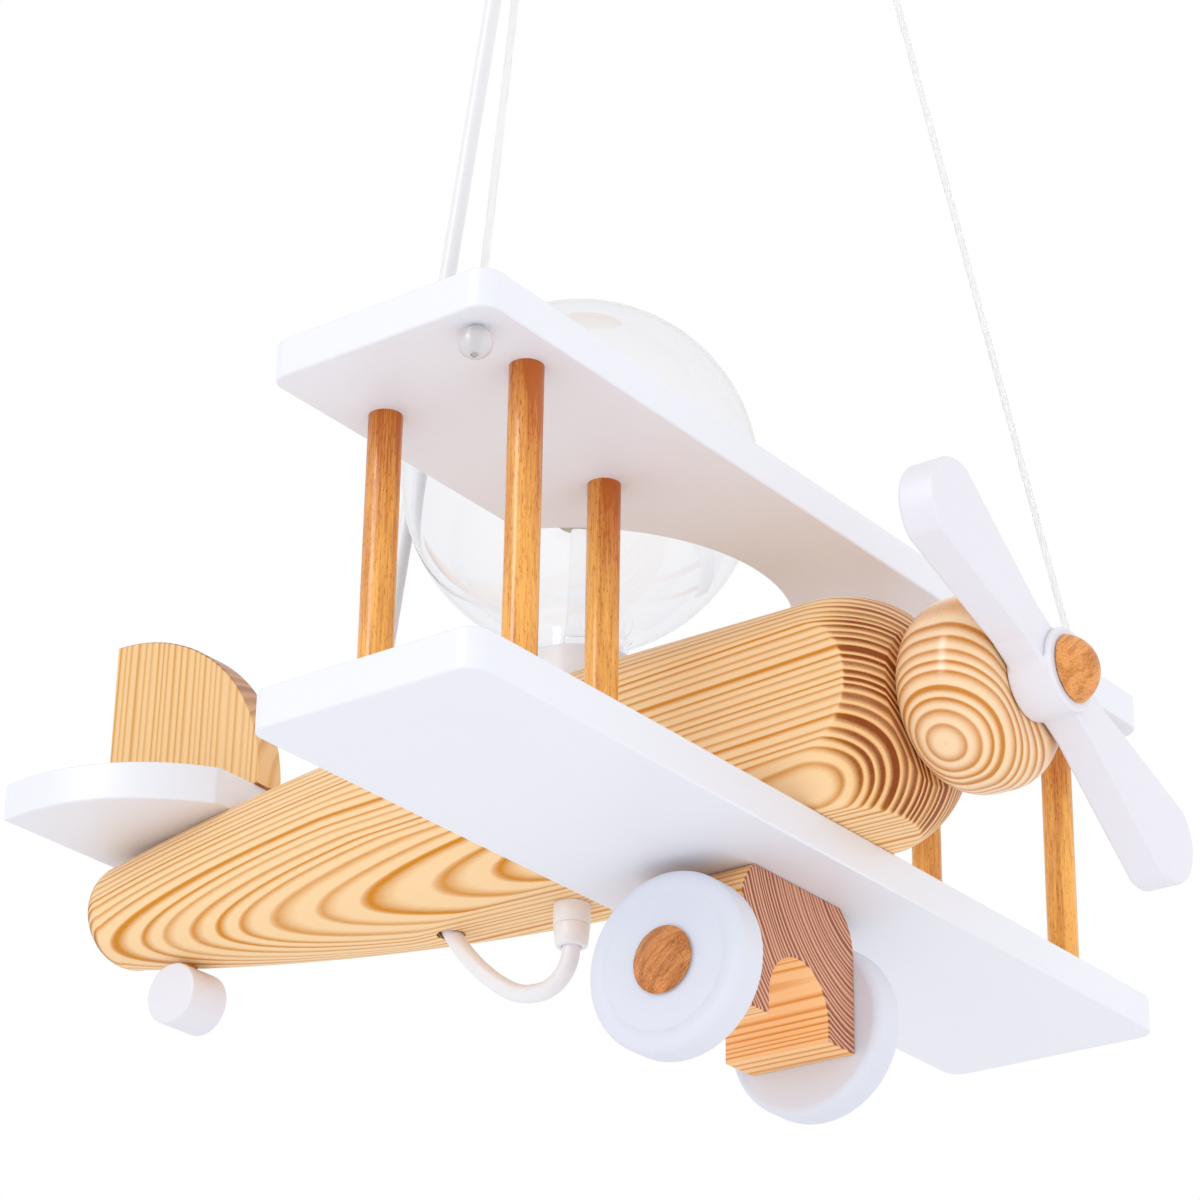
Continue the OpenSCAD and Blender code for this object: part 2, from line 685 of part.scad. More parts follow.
module lamp_holder() {
    skirt = cap_z + cap_l - 1;
    color(white_plastic) lamp_axis() difference() {
        translate([0, 0, holder_z]) cylinder(d = holder_d, h = holder_h);
        translate([0, 0, holder_z + holder_base]) cylinder(d = cap_d + 2 * bulb_play, h = holder_h);
        translate([0, 0, skirt]) cylinder(d = neck_d + 4 * bulb_play, h = holder_h);
        translate([0, 0, holder_z - 1]) cylinder(d = cable_d, h = 1 + cable_route[0][2] - holder_z);
    }
}

module holder_contact() {
    color(brass) lamp_axis() translate([0, 0, holder_z + holder_base]) cylinder(d = 9, h = contact_h);
}

module bulb_contact() {
    color(brass) lamp_axis() translate([0, 0, bulb_z]) cylinder(d1 = 7, d2 = 11, h = pip_h);
}

// Screw cap: a turned shell with rounded thread ridges
module bulb_cap() {
    ridges = 5;
    pitch = 3.6;
    depth = 1.2;
    r = cap_d / 2;
    color(brass) lamp_axis() translate([0, 0, cap_z]) rotate_extrude($fn = 64) polygon(concat(
        [[0, 0], [r - 4, 0], [r - depth, 2]],
        [for (i = [0 : 4 * ridges]) [r - depth / 2 - depth / 2 * cos(90 * i), 2.5 + pitch * i / 4]],
        [[r - depth, cap_l], [0, cap_l]]
    ));
}

// Half outline of the glass, grown or shrunk by the given amount
module glass_outline(grow) {
    neck_z = cap_z + cap_l;
    fillet = 8;
    intersection() {
        offset(r = -fillet) offset(delta = fillet) {
            translate([0, globe_z]) circle(r = bulb_d / 2 + grow, $fn = 96);
            translate([-neck_d / 2 - grow, neck_z + 6]) square([neck_d + 2 * grow, globe_z - neck_z - 6]);
            hull() {
                translate([-cap_d / 2 + 1.5 - grow, neck_z]) square([cap_d - 3 + 2 * grow, 1]);
                translate([-neck_d / 2 - grow, neck_z + 5]) square([neck_d + 2 * grow, 1]);
            }
        }
        translate([0, neck_z]) square([bulb_d, bulb_len]);
    }
}

module bulb_glass() {
    color(clear) lamp_axis() rotate_extrude($fn = 72) difference() {
        glass_outline(0);
        glass_outline(-glass_t);
    }
}

// Glass stem that carries the filament
module bulb_stem() {
    stem_top = globe_z - 18;
    color(clear) lamp_axis() translate([0, 0, cap_z + cap_l]) rotate_extrude($fn = 32) polygon([
        [0, 0], [cap_d / 2 - 1.5 - glass_t, 0], [8, 8], [4, 22], [3, stem_top - cap_z - cap_l],
        [0, stem_top - cap_z - cap_l]
    ]);
}

// Four upright filament sticks round the stem, on a small hub
module bulb_filament() {
    stem_top = globe_z - 18;
    color(brass) lamp_axis() {
        translate([0, 0, stem_top]) cylinder(d = 15, h = 1.6, $fn = 24);
        for (a = [45 : 90 : 315]) rotate(a) translate([6, 0, stem_top + 1.6]) cylinder(d = 2, h = 36, $fn = 16);
        translate([0, 0, stem_top + 37.6]) cylinder(d = 15, h = 1.2, $fn = 24);
    }
}

module cable_gland() {
    color(white_plastic) lamp_axis() difference() {
        union() {
            translate([0, 0, gland_z + gland_l / 2]) cylinder(d = gland_d, h = gland_l / 2);
            translate([0, 0, wing_t]) cylinder(d = gland_thread_d, h = gland_thread_l);
        }
        translate([0, 0, gland_z - 1]) cylinder(d = cable_d, h = gland_l + gland_thread_l + 2);
    }
}

module gland_nut() {
    color(white_plastic) lamp_axis() difference() {
        translate([0, 0, gland_z]) cylinder(d1 = gland_d - 2, d2 = gland_d, h = gland_l / 2);
        translate([0, 0, gland_z - 1]) cylinder(d = cable_d, h = gland_l + 2);
    }
}

ceiling_rose();
terminal_block();
line_right();
line_left();
line_bead_right();
line_bead_left();
line_sleeve_right();
line_sleeve_left();
power_cable();
upper_wing();
lower_wing();
strut_right_front();
strut_right_rear();
strut_right_inner();
strut_left_front();
strut_left_rear();
strut_left_inner();
fuselage();
wing_dowels();
cowl();
cowl_dowel();
propeller();
propeller_peg();
gear_block();
gear_dowels();
wheel_right();
wheel_left();
axle_peg_right();
axle_peg_left();
tailplane();
fin();
tail_dowels();
tail_roller();
roller_pin();
lamp_holder();
holder_contact();
bulb_cap();
bulb_contact();
bulb_glass();
bulb_stem();
bulb_filament();
cable_gland();
gland_nut();
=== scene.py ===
from math import asin, atan2, cos, degrees, pi, radians, sin, sqrt

import bmesh
import bpy
from mathutils import Matrix, Vector


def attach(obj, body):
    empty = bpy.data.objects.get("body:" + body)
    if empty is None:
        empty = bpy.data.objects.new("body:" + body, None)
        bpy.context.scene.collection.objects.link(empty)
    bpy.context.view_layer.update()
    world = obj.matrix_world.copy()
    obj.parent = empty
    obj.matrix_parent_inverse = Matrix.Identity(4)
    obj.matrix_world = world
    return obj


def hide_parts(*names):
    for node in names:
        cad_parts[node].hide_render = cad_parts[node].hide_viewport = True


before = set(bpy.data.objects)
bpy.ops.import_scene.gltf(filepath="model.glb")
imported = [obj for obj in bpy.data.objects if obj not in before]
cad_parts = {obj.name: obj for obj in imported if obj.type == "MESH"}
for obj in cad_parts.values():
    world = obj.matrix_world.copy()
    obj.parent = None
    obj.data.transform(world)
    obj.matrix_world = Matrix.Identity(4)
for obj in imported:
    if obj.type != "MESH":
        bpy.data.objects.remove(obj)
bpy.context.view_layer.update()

scene = bpy.context.scene
scene.view_settings.view_transform = "Standard"

# Sizes below are in millimetres from the plane's own zero: mid-chord of the
# wings, on the centre plane, at the lower wing's underside. X points to the
# nose, Y to the left wing tip, Z up. The cords, the relief of the finishes, the
# camera's reach and the studio are in metres, in the frame of the whole lamp.
ROSE_BACK = 50
HANG_DROP = 620
# Millimetres in a metre
MM = 1000
SIDES = (("right", -1), ("left", 1))


def spot(x, y, z):
    """A place on the plane, in the frame of the whole lamp, in metres."""
    return Vector(((x + ROSE_BACK) / MM, y / MM, (z - HANG_DROP) / MM))


# Camera

SENSOR_W, LENS = 36, 110.71
CAMERA_TURN, CAMERA_RISE, CAMERA_ROLL = radians(37.126), radians(-25.354), radians(0.9225)
CAMERA_PLACE = (627.56, -908.94, -418.38)
NEAREST, FARTHEST = 0.05, 60


def aim_camera():
    """The photograph's view: from below, ahead of the nose and to the right."""
    data = bpy.data.cameras.new("camera")
    data.sensor_fit = "HORIZONTAL"
    data.sensor_width = SENSOR_W
    data.lens = LENS
    data.clip_start = NEAREST
    data.clip_end = FARTHEST
    camera = bpy.data.objects.new("camera", data)
    scene.collection.objects.link(camera)
    level = cos(CAMERA_RISE)
    back = Vector((sin(CAMERA_TURN) * level, -cos(CAMERA_TURN) * level, sin(CAMERA_RISE)))
    right = Vector((cos(CAMERA_TURN), sin(CAMERA_TURN), 0))
    up = back.cross(right)
    across = right * cos(CAMERA_ROLL) + up * sin(CAMERA_ROLL)
    upward = up * cos(CAMERA_ROLL) - right * sin(CAMERA_ROLL)
    camera.matrix_world = Matrix((across, upward, back)).transposed().to_4x4()
    camera.matrix_world.translation = spot(*CAMERA_PLACE)
    scene.camera = camera


aim_camera()


# Shader building

class Nodes:
    """Short calls for making and joining nodes in one tree."""

    def __init__(self, tree):
        self.tree = tree

    def add(self, kind, **settings):
        node = self.tree.nodes.new(kind)
        for key, value in settings.items():
            setattr(node, key, value)
        return node

    def join(self, source, target):
        self.tree.links.new(source, target)

    def fed(self, kind, values, **settings):
        """A node with its inputs, by name or number, set or joined to a source."""
        node = self.add(kind, **settings)
        for key, value in values.items():
            if isinstance(value, bpy.types.NodeSocket):
                self.join(value, node.inputs[key])
            else:
                node.inputs[key].default_value = value
        return node

    def math(self, operation, a, b=None, clamp=False):
        values = {0: a} if b is None else {0: a, 1: b}
        return self.fed("ShaderNodeMath", values, operation=operation, use_clamp=clamp).outputs[0]

    def plus(self, a, b, clamp=False):
        return self.math("ADD", a, b, clamp)

    def minus(self, a, b, clamp=False):
        return self.math("SUBTRACT", a, b, clamp)

    def times(self, a, b, clamp=False):
        return self.math("MULTIPLY", a, b, clamp)

    def over(self, a, b, clamp=False):
        return self.math("DIVIDE", a, b, clamp)

    def swing(self, value, amount):
        """A value from 0 to 1, moved to lie about zero and scaled."""
        return self.times(self.minus(value, 0.5), amount)

    def wave(self, value, pace, height):
        return self.times(self.math("SINE", self.times(value, pace)), height)

    def parts(self, vector):
        return self.fed("ShaderNodeSeparateXYZ", {0: vector}).outputs

    def mix(self, factor, a, b):
        """A mix of two colours. The node's inputs 6 and 7 are its colours."""
        return self.fed("ShaderNodeMix", {0: factor, 6: a, 7: b}, data_type="RGBA").outputs[2]

    def blend(self, factor, low, high):
        values = {"Value": factor, "To Min": low, "To Max": high}
        return self.fed("ShaderNodeMapRange", values).outputs[0]

    def ramp(self, factor, low, high, smooth=False):
        """0 up to low, 1 from high on, and a straight or smooth climb between."""
        node = self.fed("ShaderNodeValToRGB", {0: factor})
        node.color_ramp.interpolation = "EASE" if smooth else "LINEAR"
        for point, place in zip(node.color_ramp.elements, (low, high)):
            point.position = place
        return node.outputs[0]

    def noise(self, vector, scale, detail=2.0, rough=0.5):
        values = {"Vector": vector, "Scale": scale, "Detail": detail, "Roughness": rough}
        return self.fed("ShaderNodeTexNoise", values).outputs["Fac"]

    def drawn(self, vector, squeeze, scale, detail=2.0, rough=0.5):
        """Noise drawn out along the local Z axis: the squeeze of Z before it is read."""
        return self.noise(self.mapped(vector, (1, 1, squeeze)), scale, detail, rough)

    def mapped(self, vector, scale=(1, 1, 1), location=(0, 0, 0), rotation=(0, 0, 0)):
        values = {"Vector": vector, "Location": location, "Rotation": rotation, "Scale": scale}
        return self.fed("ShaderNodeMapping", values).outputs[0]


def socket_kind(default):
    if default is None:
        return "NodeSocketVector"
    return "NodeSocketColor" if isinstance(default, tuple) else "NodeSocketFloat"


def new_group(name, inputs):
    """A shader group that puts out a colour, a roughness and a height. inputs
    gives each input's default: a number, a colour, or None for a vector."""
    tree = bpy.data.node_groups.new(name, "ShaderNodeTree")
    for label, default in inputs.items():
        socket = tree.interface.new_socket(label, in_out="INPUT", socket_type=socket_kind(default))
        if default is not None:
            socket.default_value = default
    tree.interface.new_socket("Color", in_out="OUTPUT", socket_type="NodeSocketColor")
    for label in ("Roughness", "Height"):
        tree.interface.new_socket(label, in_out="OUTPUT", socket_type="NodeSocketFloat")
    n = Nodes(tree)
    return tree, n, n.add("NodeGroupInput").outputs, n.add("NodeGroupOutput").inputs


def growth_rings_group():
    """Softwood in the round: rings about the local Z axis, wide at the heart, with
    pale spring wood that deepens into an orange summer line and then stops short.
    End grain takes up more oil and is darker. Vector in mm."""
    tree, n, given, out = new_group("growth_rings", {
        "Vector": None, "Normal": None,
        "Spacing": 3.4, "Heart": 6.0, "Wander": 2.0, "Line": 0.5, "Contrast": 1.0, "End grain": 0.8,
        "Spring wood": (0.9, 0.62, 0.36, 1), "Summer wood": (0.62, 0.28, 0.06, 1),
        "Spring ends": (0.93, 0.56, 0.25, 1), "Summer ends": (0.27, 0.055, 0.004, 1)})
    vector, heart = given["Vector"], given["Heart"]
    # Distance from the pith, eased at the heart and bent a little along the trunk
    x, y, _ = n.parts(vector)
    square = n.plus(n.times(x, x), n.times(y, y))
    reach = n.minus(n.math("SQRT", n.plus(square, n.times(heart, heart))), heart)
    bend = n.drawn(vector, 0.12, scale=0.03, rough=0.45)
    shift = n.times(n.swing(bend, given["Wander"]), 2.0)
    steps = n.over(n.plus(reach, shift), given["Spacing"])
    # Good and lean years make wide and narrow rings. The count stays above zero
    years = n.plus(n.wave(steps, pace=0.83, height=0.22), n.wave(steps, pace=2.17, height=0.1))
    first_year = 40.0
    count = n.plus(n.plus(steps, years), first_year)
    phase = n.math("FRACT", count)
    chance = n.fed("ShaderNodeTexWhiteNoise", {"W": n.math("FLOOR", count)}, noise_dimensions="1D")
    strength = n.blend(chance.outputs["Value"], 0.6, 1.15)
    # How far the surface faces along the grain
    facing = n.math("ABSOLUTE", n.parts(given["Normal"])[2])
    turn = {"Value": facing, "From Min": 0.15, "From Max": 0.65}
    ends = n.fed("ShaderNodeMapRange", turn, interpolation_type="SMOOTHSTEP").outputs[0]
    ends = n.times(ends, given["End grain"], clamp=True)
    # On end grain the oil spreads and the lines look wider
    width = n.times(given["Line"], n.blend(ends, 1.0, 1.3))
    climb = n.over(n.minus(phase, n.minus(1.0, width)), width, clamp=True)
    fall = n.over(n.minus(1.0, phase), 0.2, clamp=True)
    line = n.math("POWER", climb, n.blend(ends, 1.35, 0.6))
    line = n.times(line, n.times(fall, 1.5), clamp=True)
    # Fibres run along the grain and break the lines up a little
    fibre = n.drawn(vector, 0.035, scale=1.6, detail=3.0, rough=0.6)
    tone = n.drawn(vector, 0.2, scale=0.035)
    depth = n.times(n.plus(0.6, n.times(tone, 0.8)), given["Contrast"])
    mask = n.times(line, n.times(depth, strength), clamp=True)
    mask = n.plus(mask, n.swing(fibre, 0.28), clamp=True)
    pale = n.mix(ends, given["Spring wood"], given["Spring ends"])
    deep = n.mix(ends, given["Summer wood"], given["Summer ends"])
    n.join(n.mix(mask, pale, deep), out["Color"])
    n.join(n.plus(0.5, n.times(mask, -0.12)), out["Roughness"])
    n.join(n.plus(n.times(line, 0.05), n.times(fibre, 0.4)), out["Height"])
    return tree


def streaked_wood_group():
    """Hardwood dowel: broad bands, long lines and short dark flecks. Head brings in
    a stain of its own for each upright dowel, and painted shade that deepens near
    the dowel's head, where the wing above shades it. Vector in mm, grain along the local Z axis."""
    tree, n, given, out = new_group("streaked_wood", {
        "Vector": None, "Size": 1.0, "Head shade and stain": 0.0,
        "Pale": (0.82, 0.46, 0.15, 1), "Deep": (0.4, 0.14, 0.03, 1)})
    sized = {0: given["Vector"], "Scale": given["Size"]}
    vector = n.fed("ShaderNodeVectorMath", sized, operation="SCALE").outputs[0]
    fine = n.drawn(vector, 0.05, scale=1.5, detail=3.0, rough=0.65)
    wide = n.drawn(vector, 0.06, scale=0.22, detail=3.0, rough=0.55)
    fleck = n.drawn(vector, 0.16, scale=2.6, detail=1.0)
    bands = n.ramp(wide, 0.4, 0.6, smooth=True)
    lines = n.ramp(fine, 0.44, 0.64)
    marks = n.ramp(fleck, 0.6, 0.68)
    mask = n.plus(n.times(bands, 0.36), n.times(lines, 0.32))
    mask = n.plus(mask, n.times(marks, 0.4), clamp=True)
    head_z = 114.0
    climb = n.over(n.parts(given["Vector"])[2], head_z, clamp=True)
    own = n.drawn(vector, 0.0, scale=0.031, detail=0.0)
    # Painted shade: darker towards the dowel's head, under the wing, plus a random stain for each dowel
    shade_and_stain = n.plus(n.times(n.math("POWER", climb, 3.0), 0.8), n.swing(own, 1.4))
    mask = n.plus(mask, n.times(shade_and_stain, given["Head shade and stain"]), clamp=True)
    n.join(n.mix(mask, given["Pale"], given["Deep"]), out["Color"])
    n.join(n.plus(0.42, n.times(lines, 0.14)), out["Roughness"])
    n.join(n.minus(n.times(fine, 0.5), n.times(marks, 0.5)), out["Height"])
    return tree


def brushed_paint_group():
    """Thin satin paint over board: faint drifts in tone, a grain that shows
    through, and a fine roller texture. Vector in mm, grain along local Y."""
    tree, n, given, out = new_group("brushed_paint", {
        "Vector": None, "Paint": (0.86, 0.875, 0.945, 1), "Shade": (0.81, 0.82, 0.885, 1)})
    vector = given["Vector"]
    drift = n.noise(vector, scale=0.012)
    grain = n.noise(n.mapped(vector, (1, 0.05, 1)), scale=0.55, detail=3.0, rough=0.6)
    stipple = n.noise(vector, scale=1.3)
    mask = n.plus(n.swing(drift, 0.7), n.swing(grain, 0.35))
    mask = n.plus(mask, 0.3, clamp=True)
    n.join(n.mix(mask, given["Paint"], given["Shade"]), out["Color"])
    n.join(n.plus(0.36, n.times(stipple, 0.14)), out["Roughness"])
    n.join(n.plus(n.times(grain, 0.5), n.times(stipple, 0.5)), out["Height"])
    return tree


GROWTH_RINGS = growth_rings_group()
STREAKED_WOOD = streaked_wood_group()
BRUSHED_PAINT = brushed_paint_group()


# Materials

GRAIN_RELIEF, FINE_RELIEF = 0.0004, 0.0002
COAT_ROUGH = 0.22


def new_material(name):
    material = bpy.data.materials.new(name)
    material.use_nodes = True
    n = Nodes(material.node_tree)
    n.tree.nodes.clear()
    shader = n.add("ShaderNodeBsdfPrincipled")
    n.join(shader.outputs[0], n.add("ShaderNodeOutputMaterial").inputs[0])
    return material, n, shader


def set_sockets(shader, values):
    for key, value in values.items():
        shader.inputs[key].default_value = value


def add_relief(n, shader, height, strength, distance):
    values = {"Strength": strength, "Distance": distance, "Height": height}
    n.join(n.fed("ShaderNodeBump", values).outputs[0], shader.inputs["Normal"])


def grained(name, group, pith, grain, bump, values, varnish=0.15, sheen=0.12, ball=None):
    """A material whose pattern is laid along a grain direction through a point,
    both on the plane in mm. ball is a radius: the pattern is then read on a ball
    about that point, as on a piece turned nearly round."""
    material, n, shader = new_material(name)
    coordinates = n.add("ShaderNodeTexCoord").outputs
    # Millimetres from the pith, then turned so that the grain lies along Z
    moved = n.mapped(coordinates["Object"], (MM, MM, MM), tuple(spot(*pith) * -MM))
    turn = tuple(Vector(grain).normalized().rotation_difference(Vector((0, 0, 1))).to_euler())
    laid = n.mapped(moved, rotation=turn)
    if ball:
        way = n.fed("ShaderNodeVectorMath", {0: laid}, operation="NORMALIZE")
        laid = n.mapped(way.outputs[0], (ball, ball, ball))
    pattern = n.fed("ShaderNodeGroup", {"Vector": laid, **values}, node_tree=group)
    if "Normal" in pattern.inputs:
        n.join(n.mapped(coordinates["Normal"], rotation=turn), pattern.inputs["Normal"])
    n.join(pattern.outputs["Color"], shader.inputs["Base Color"])
    n.join(pattern.outputs["Roughness"], shader.inputs["Roughness"])
    add_relief(n, shader, pattern.outputs["Height"], bump, GRAIN_RELIEF)
    set_sockets(shader, {
        "Specular IOR Level": sheen, "Coat Weight": varnish, "Coat Roughness": COAT_ROUGH})
    return material


def painted(name, bump, values):
    """White paint on a board or a turned piece."""
    return grained(name, BRUSHED_PAINT, (0, 0, 0), (0, 0, 1), bump, values, varnish=0, sheen=0.5)


def plain(name, colour, rough, grain_scale=900.0, depth=0.03, extra=None):
    """A moulded or drawn finish with slight unevenness in sheen and surface."""
    material, n, shader = new_material(name)
    uneven = n.noise(n.add("ShaderNodeTexCoord").outputs["Object"], grain_scale)
    duller = tuple(0.94 * part for part in colour[:3]) + (1,)
    n.join(n.blend(uneven, rough - 0.05, rough + 0.08), shader.inputs["Roughness"])
    n.join(n.mix(uneven, colour, duller), shader.inputs["Base Color"])
    add_relief(n, shader, uneven, depth, FINE_RELIEF)
    set_sockets(shader, extra or {})
    return material


def glass(name, middle, edge, ior, rough=0.0):
    """Clear glass, a little greyer where it is seen edge on: a painted reflection, as if
    the glass mirrored darker surroundings at its rim."""
    material, n, shader = new_material(name)
    # Painted reflection: the edge colour greys the glass where it is seen edge on
    rim_reflection = n.fed("ShaderNodeLayerWeight", {"Blend": 0.35})
    n.join(n.mix(rim_reflection.outputs["Facing"], middle, edge), shader.inputs["Base Color"])
    set_sockets(shader, {"Transmission Weight": 1.0, "IOR": ior, "Roughness": rough})
    return material


PALE_PINE = (0.97, 0.68, 0.38, 1)
RING_LINE = (0.66, 0.24, 0.004, 1)

fuselage_pine = grained(
    "fuselage_pine", GROWTH_RINGS, pith=(0, -43.5, 1), grain=(1, 0.008, 0.045), bump=0.18, values={
        "Spacing": 2.8, "Heart": 4.0, "Wander": 1.0, "Line": 0.62, "Contrast": 1.2, "End grain": 1.0,
        "Spring wood": PALE_PINE, "Summer wood": RING_LINE})
cowl_pine = grained(
    "cowl_pine", GROWTH_RINGS, pith=(88, 0, 49), grain=(0, -0.646, -0.763), bump=0.18, values={
        "Spacing": 2.2, "Heart": 14.0, "Wander": 0.3, "Line": 0.8, "Contrast": 1.3, "End grain": 0.0,
        "Spring wood": (0.97, 0.7, 0.44, 1), "Summer wood": (0.62, 0.22, 0.015, 1)},
    varnish=0.6, ball=31.5)
block_pine = grained(
    "block_pine", GROWTH_RINGS, pith=(0, 45, 20), grain=(1, 0, 0), bump=0.25, values={
        "Spacing": 1.7, "Wander": 1.4, "Line": 0.55, "Contrast": 1.15, "End grain": 1.0,
        "Spring wood": (1.0, 0.61, 0.3, 1), "Summer wood": (0.74, 0.25, 0.01, 1),
        "Spring ends": (0.8, 0.41, 0.26, 1), "Summer ends": (0.28, 0.09, 0.05, 1)})
fin_pine = grained(
    "fin_pine", GROWTH_RINGS, pith=(-140, 20, 120), grain=(0.01, 0, 1), bump=0.15, values={
        "Spacing": 3.1, "Wander": 2.6, "Line": 0.6, "Contrast": 1.05, "End grain": 1.0,
        "Spring wood": (0.92, 0.6, 0.3, 1), "Summer wood": (0.68, 0.33, 0.07, 1),
        "Spring ends": (0.6, 0.31, 0.17, 1), "Summer ends": (0.36, 0.14, 0.07, 1)})
rose_pine = grained(
    "rose_pine", GROWTH_RINGS, pith=(-50, 0, 520), grain=(1, 0.04, 0), bump=0.15, values={
        "Spacing": 4.2, "Wander": 4.0, "Line": 0.45, "Contrast": 0.6,
        "Spring wood": PALE_PINE, "Summer wood": RING_LINE})
# The head input paints shade near each strut's top, together with each dowel's own stain
upright_beech = grained(
    "upright_beech", STREAKED_WOOD, pith=(0, 0, 0), grain=(0, 0, 1), bump=0.2, values={
        "Pale": (1.0, 0.5, 0.11, 1), "Deep": (0.46, 0.1, 0.004, 1), "Head shade and stain": 1.0}, varnish=0.6)
nose_beech = grained(
    "nose_beech", STREAKED_WOOD, pith=(125, 0, 49), grain=(0, 1, 0.8), bump=0.2, values={
        "Pale": (0.89, 0.4, 0.13, 1), "Deep": (0.36, 0.09, 0.01, 1), "Size": 1.4})
axle_beech = grained(
    "axle_beech", STREAKED_WOOD, pith=(0, -45, -34), grain=(1, 0, 0.9), bump=0.2, values={
        "Pale": (0.77, 0.31, 0.1, 1), "Deep": (0.22, 0.045, 0.006, 1), "Size": 1.4})
white_board = painted("white_board", 0.05, {})
# A slightly darker copy of the board paint: painted shade for the turned pieces
white_turned_shaded = painted("white_turned_shaded", 0.04, {
    "Paint": (0.83, 0.82, 0.89, 1), "Shade": (0.78, 0.77, 0.84, 1)})
# A darker copy of the white paint: painted shade for the wheels, which hang under the lower wing
wheel_paint_shaded = painted("wheel_paint_shaded", 0.04, {
    "Paint": (0.76, 0.78, 0.87, 1), "Shade": (0.69, 0.72, 0.81, 1)})
white_plastic = plain("white_plastic", (0.9, 0.88, 0.89, 1), rough=0.38)
white_cable = plain("white_cable", (0.88, 0.87, 0.9, 1), rough=0.42, grain_scale=1400.0, depth=0.05)
cap_brass = plain("cap_brass", (0.72, 0.53, 0.24, 1), rough=0.28, grain_scale=1500.0, depth=0.05,
                  extra={"Metallic": 1.0})
glow_stick = plain("glow_stick", (0.92, 0.86, 0.72, 1), rough=0.5, grain_scale=2400.0, depth=0.1)
bead_clear = plain("bead_clear", (0.97, 0.96, 0.98, 1), rough=0.14, grain_scale=700.0, depth=0.2,
                   extra={"Transmission Weight": 0.55, "IOR": 1.4})
line_nylon = plain("line_nylon", (1.0, 1.0, 1.0, 1), rough=0.35, grain_scale=1800.0, depth=0.01,
                   extra={"Transmission Weight": 0.6, "IOR": 1.3})
globe_glass = glass("globe_glass", (0.975, 0.972, 0.98, 1), (0.84, 0.85, 0.89, 1), ior=1.45)
stem_glass = glass("stem_glass", (0.97, 0.97, 0.98, 1), (0.86, 0.87, 0.9, 1), ior=1.48, rough=0.04)


# Making pieces

# Points this close, in metres, become one, and a ring this small, in mm, is a pole
MERGE, POLE_R = 1e-6, 1e-6


def link(name, data, material):
    piece = bpy.data.objects.new(name, data)
    data.materials.append(material)
    scene.collection.objects.link(piece)
    return piece


def baked(piece):
    """Turns an object with modifiers, or a curve, into a plain mesh object."""
    graph = bpy.context.evaluated_depsgraph_get()
    mesh = bpy.data.meshes.new_from_object(piece.evaluated_get(graph))
    name, material = piece.name, piece.data.materials[0]
    bpy.data.objects.remove(piece)
    mesh.materials.clear()
    return link(name, mesh, material)


def close_up(work, mesh):
    """Merges points that lie on each other, turns every face outwards and ends the
    work as this mesh."""
    bmesh.ops.remove_doubles(work, verts=work.verts, dist=MERGE)
    bmesh.ops.recalc_face_normals(work, faces=work.faces)
    work.to_mesh(mesh)
    work.free()


def cleaned(piece):
    work = bmesh.new()
    work.from_mesh(piece.data)
    close_up(work, piece.data)
    return piece


def carved(piece, *steps):
    """Joins other pieces to this one or cuts them out of it."""
    for operation, tool in steps:
        cut = piece.modifiers.new(tool.name, "BOOLEAN")
        cut.operation = operation
        cut.solver = "EXACT"
        cut.object = tool
    piece = baked(piece)
    for _, tool in steps:
        bpy.data.objects.remove(tool)
    return cleaned(piece)


def smooth(piece, angle):
    mesh = piece.data
    mesh.polygons.foreach_set("use_smooth", [True] * len(mesh.polygons))
    mesh.set_sharp_from_angle(angle=radians(angle))
    return piece


def flats_kept(piece):
    """Smooth shading in which the large flat faces stay flat up to their eased edges."""
    smooth(piece, angle=40)
    modifier = piece.modifiers.new("flats", "WEIGHTED_NORMAL")
    modifier.weight = 100
    modifier.keep_sharp = True
    return baked(piece)


def settle(piece, body, nodes):
    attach(piece, body)
    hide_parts(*nodes)


def arc(cx, cy, r, a0, a1, steps=10):
    """Points on an arc, angles in degrees."""
    angles = [radians(a0 + (a1 - a0) * i / steps) for i in range(steps + 1)]
    return [(cx + r * cos(a), cy + r * sin(a)) for a in angles]


def board(name, outline, thick, ease, place, material):
    """A board sawn to an outline in mm, with eased edges. place takes a point
    (across, along, through) to the plane's mm."""
    data = bpy.data.curves.new(name, "CURVE")
    data.dimensions = "2D"
    data.fill_mode = "BOTH"
    data.extrude = thick / 2 - ease
    data.bevel_depth = ease
    data.bevel_resolution = 3
    data.offset = -ease
    spline = data.splines.new("POLY")
    spline.points.add(len(outline) - 1)
    for point, (u, v) in zip(spline.points, outline):
        point.co = (u, v, 0, 1)
    spline.use_cyclic_u = True
    piece = baked(link(name, data, material))
    for vertex in piece.data.vertices:
        vertex.co = spot(*place(*vertex.co))
    return flats_kept(cleaned(piece))


def skin(work, rows):
    """Faces between rows of points that follow each other, each a ring or one pole."""
    for low, high in zip(rows, rows[1:]):
        around = max(len(low), len(high))
        for k in range(around):
            m = (k + 1) % around
            corners = (low[k % len(low)], low[m % len(low)], high[m % len(high)], high[k % len(high)])
            unique = list(dict.fromkeys(corners))
            if len(unique) > 2:
                work.faces.new(unique)


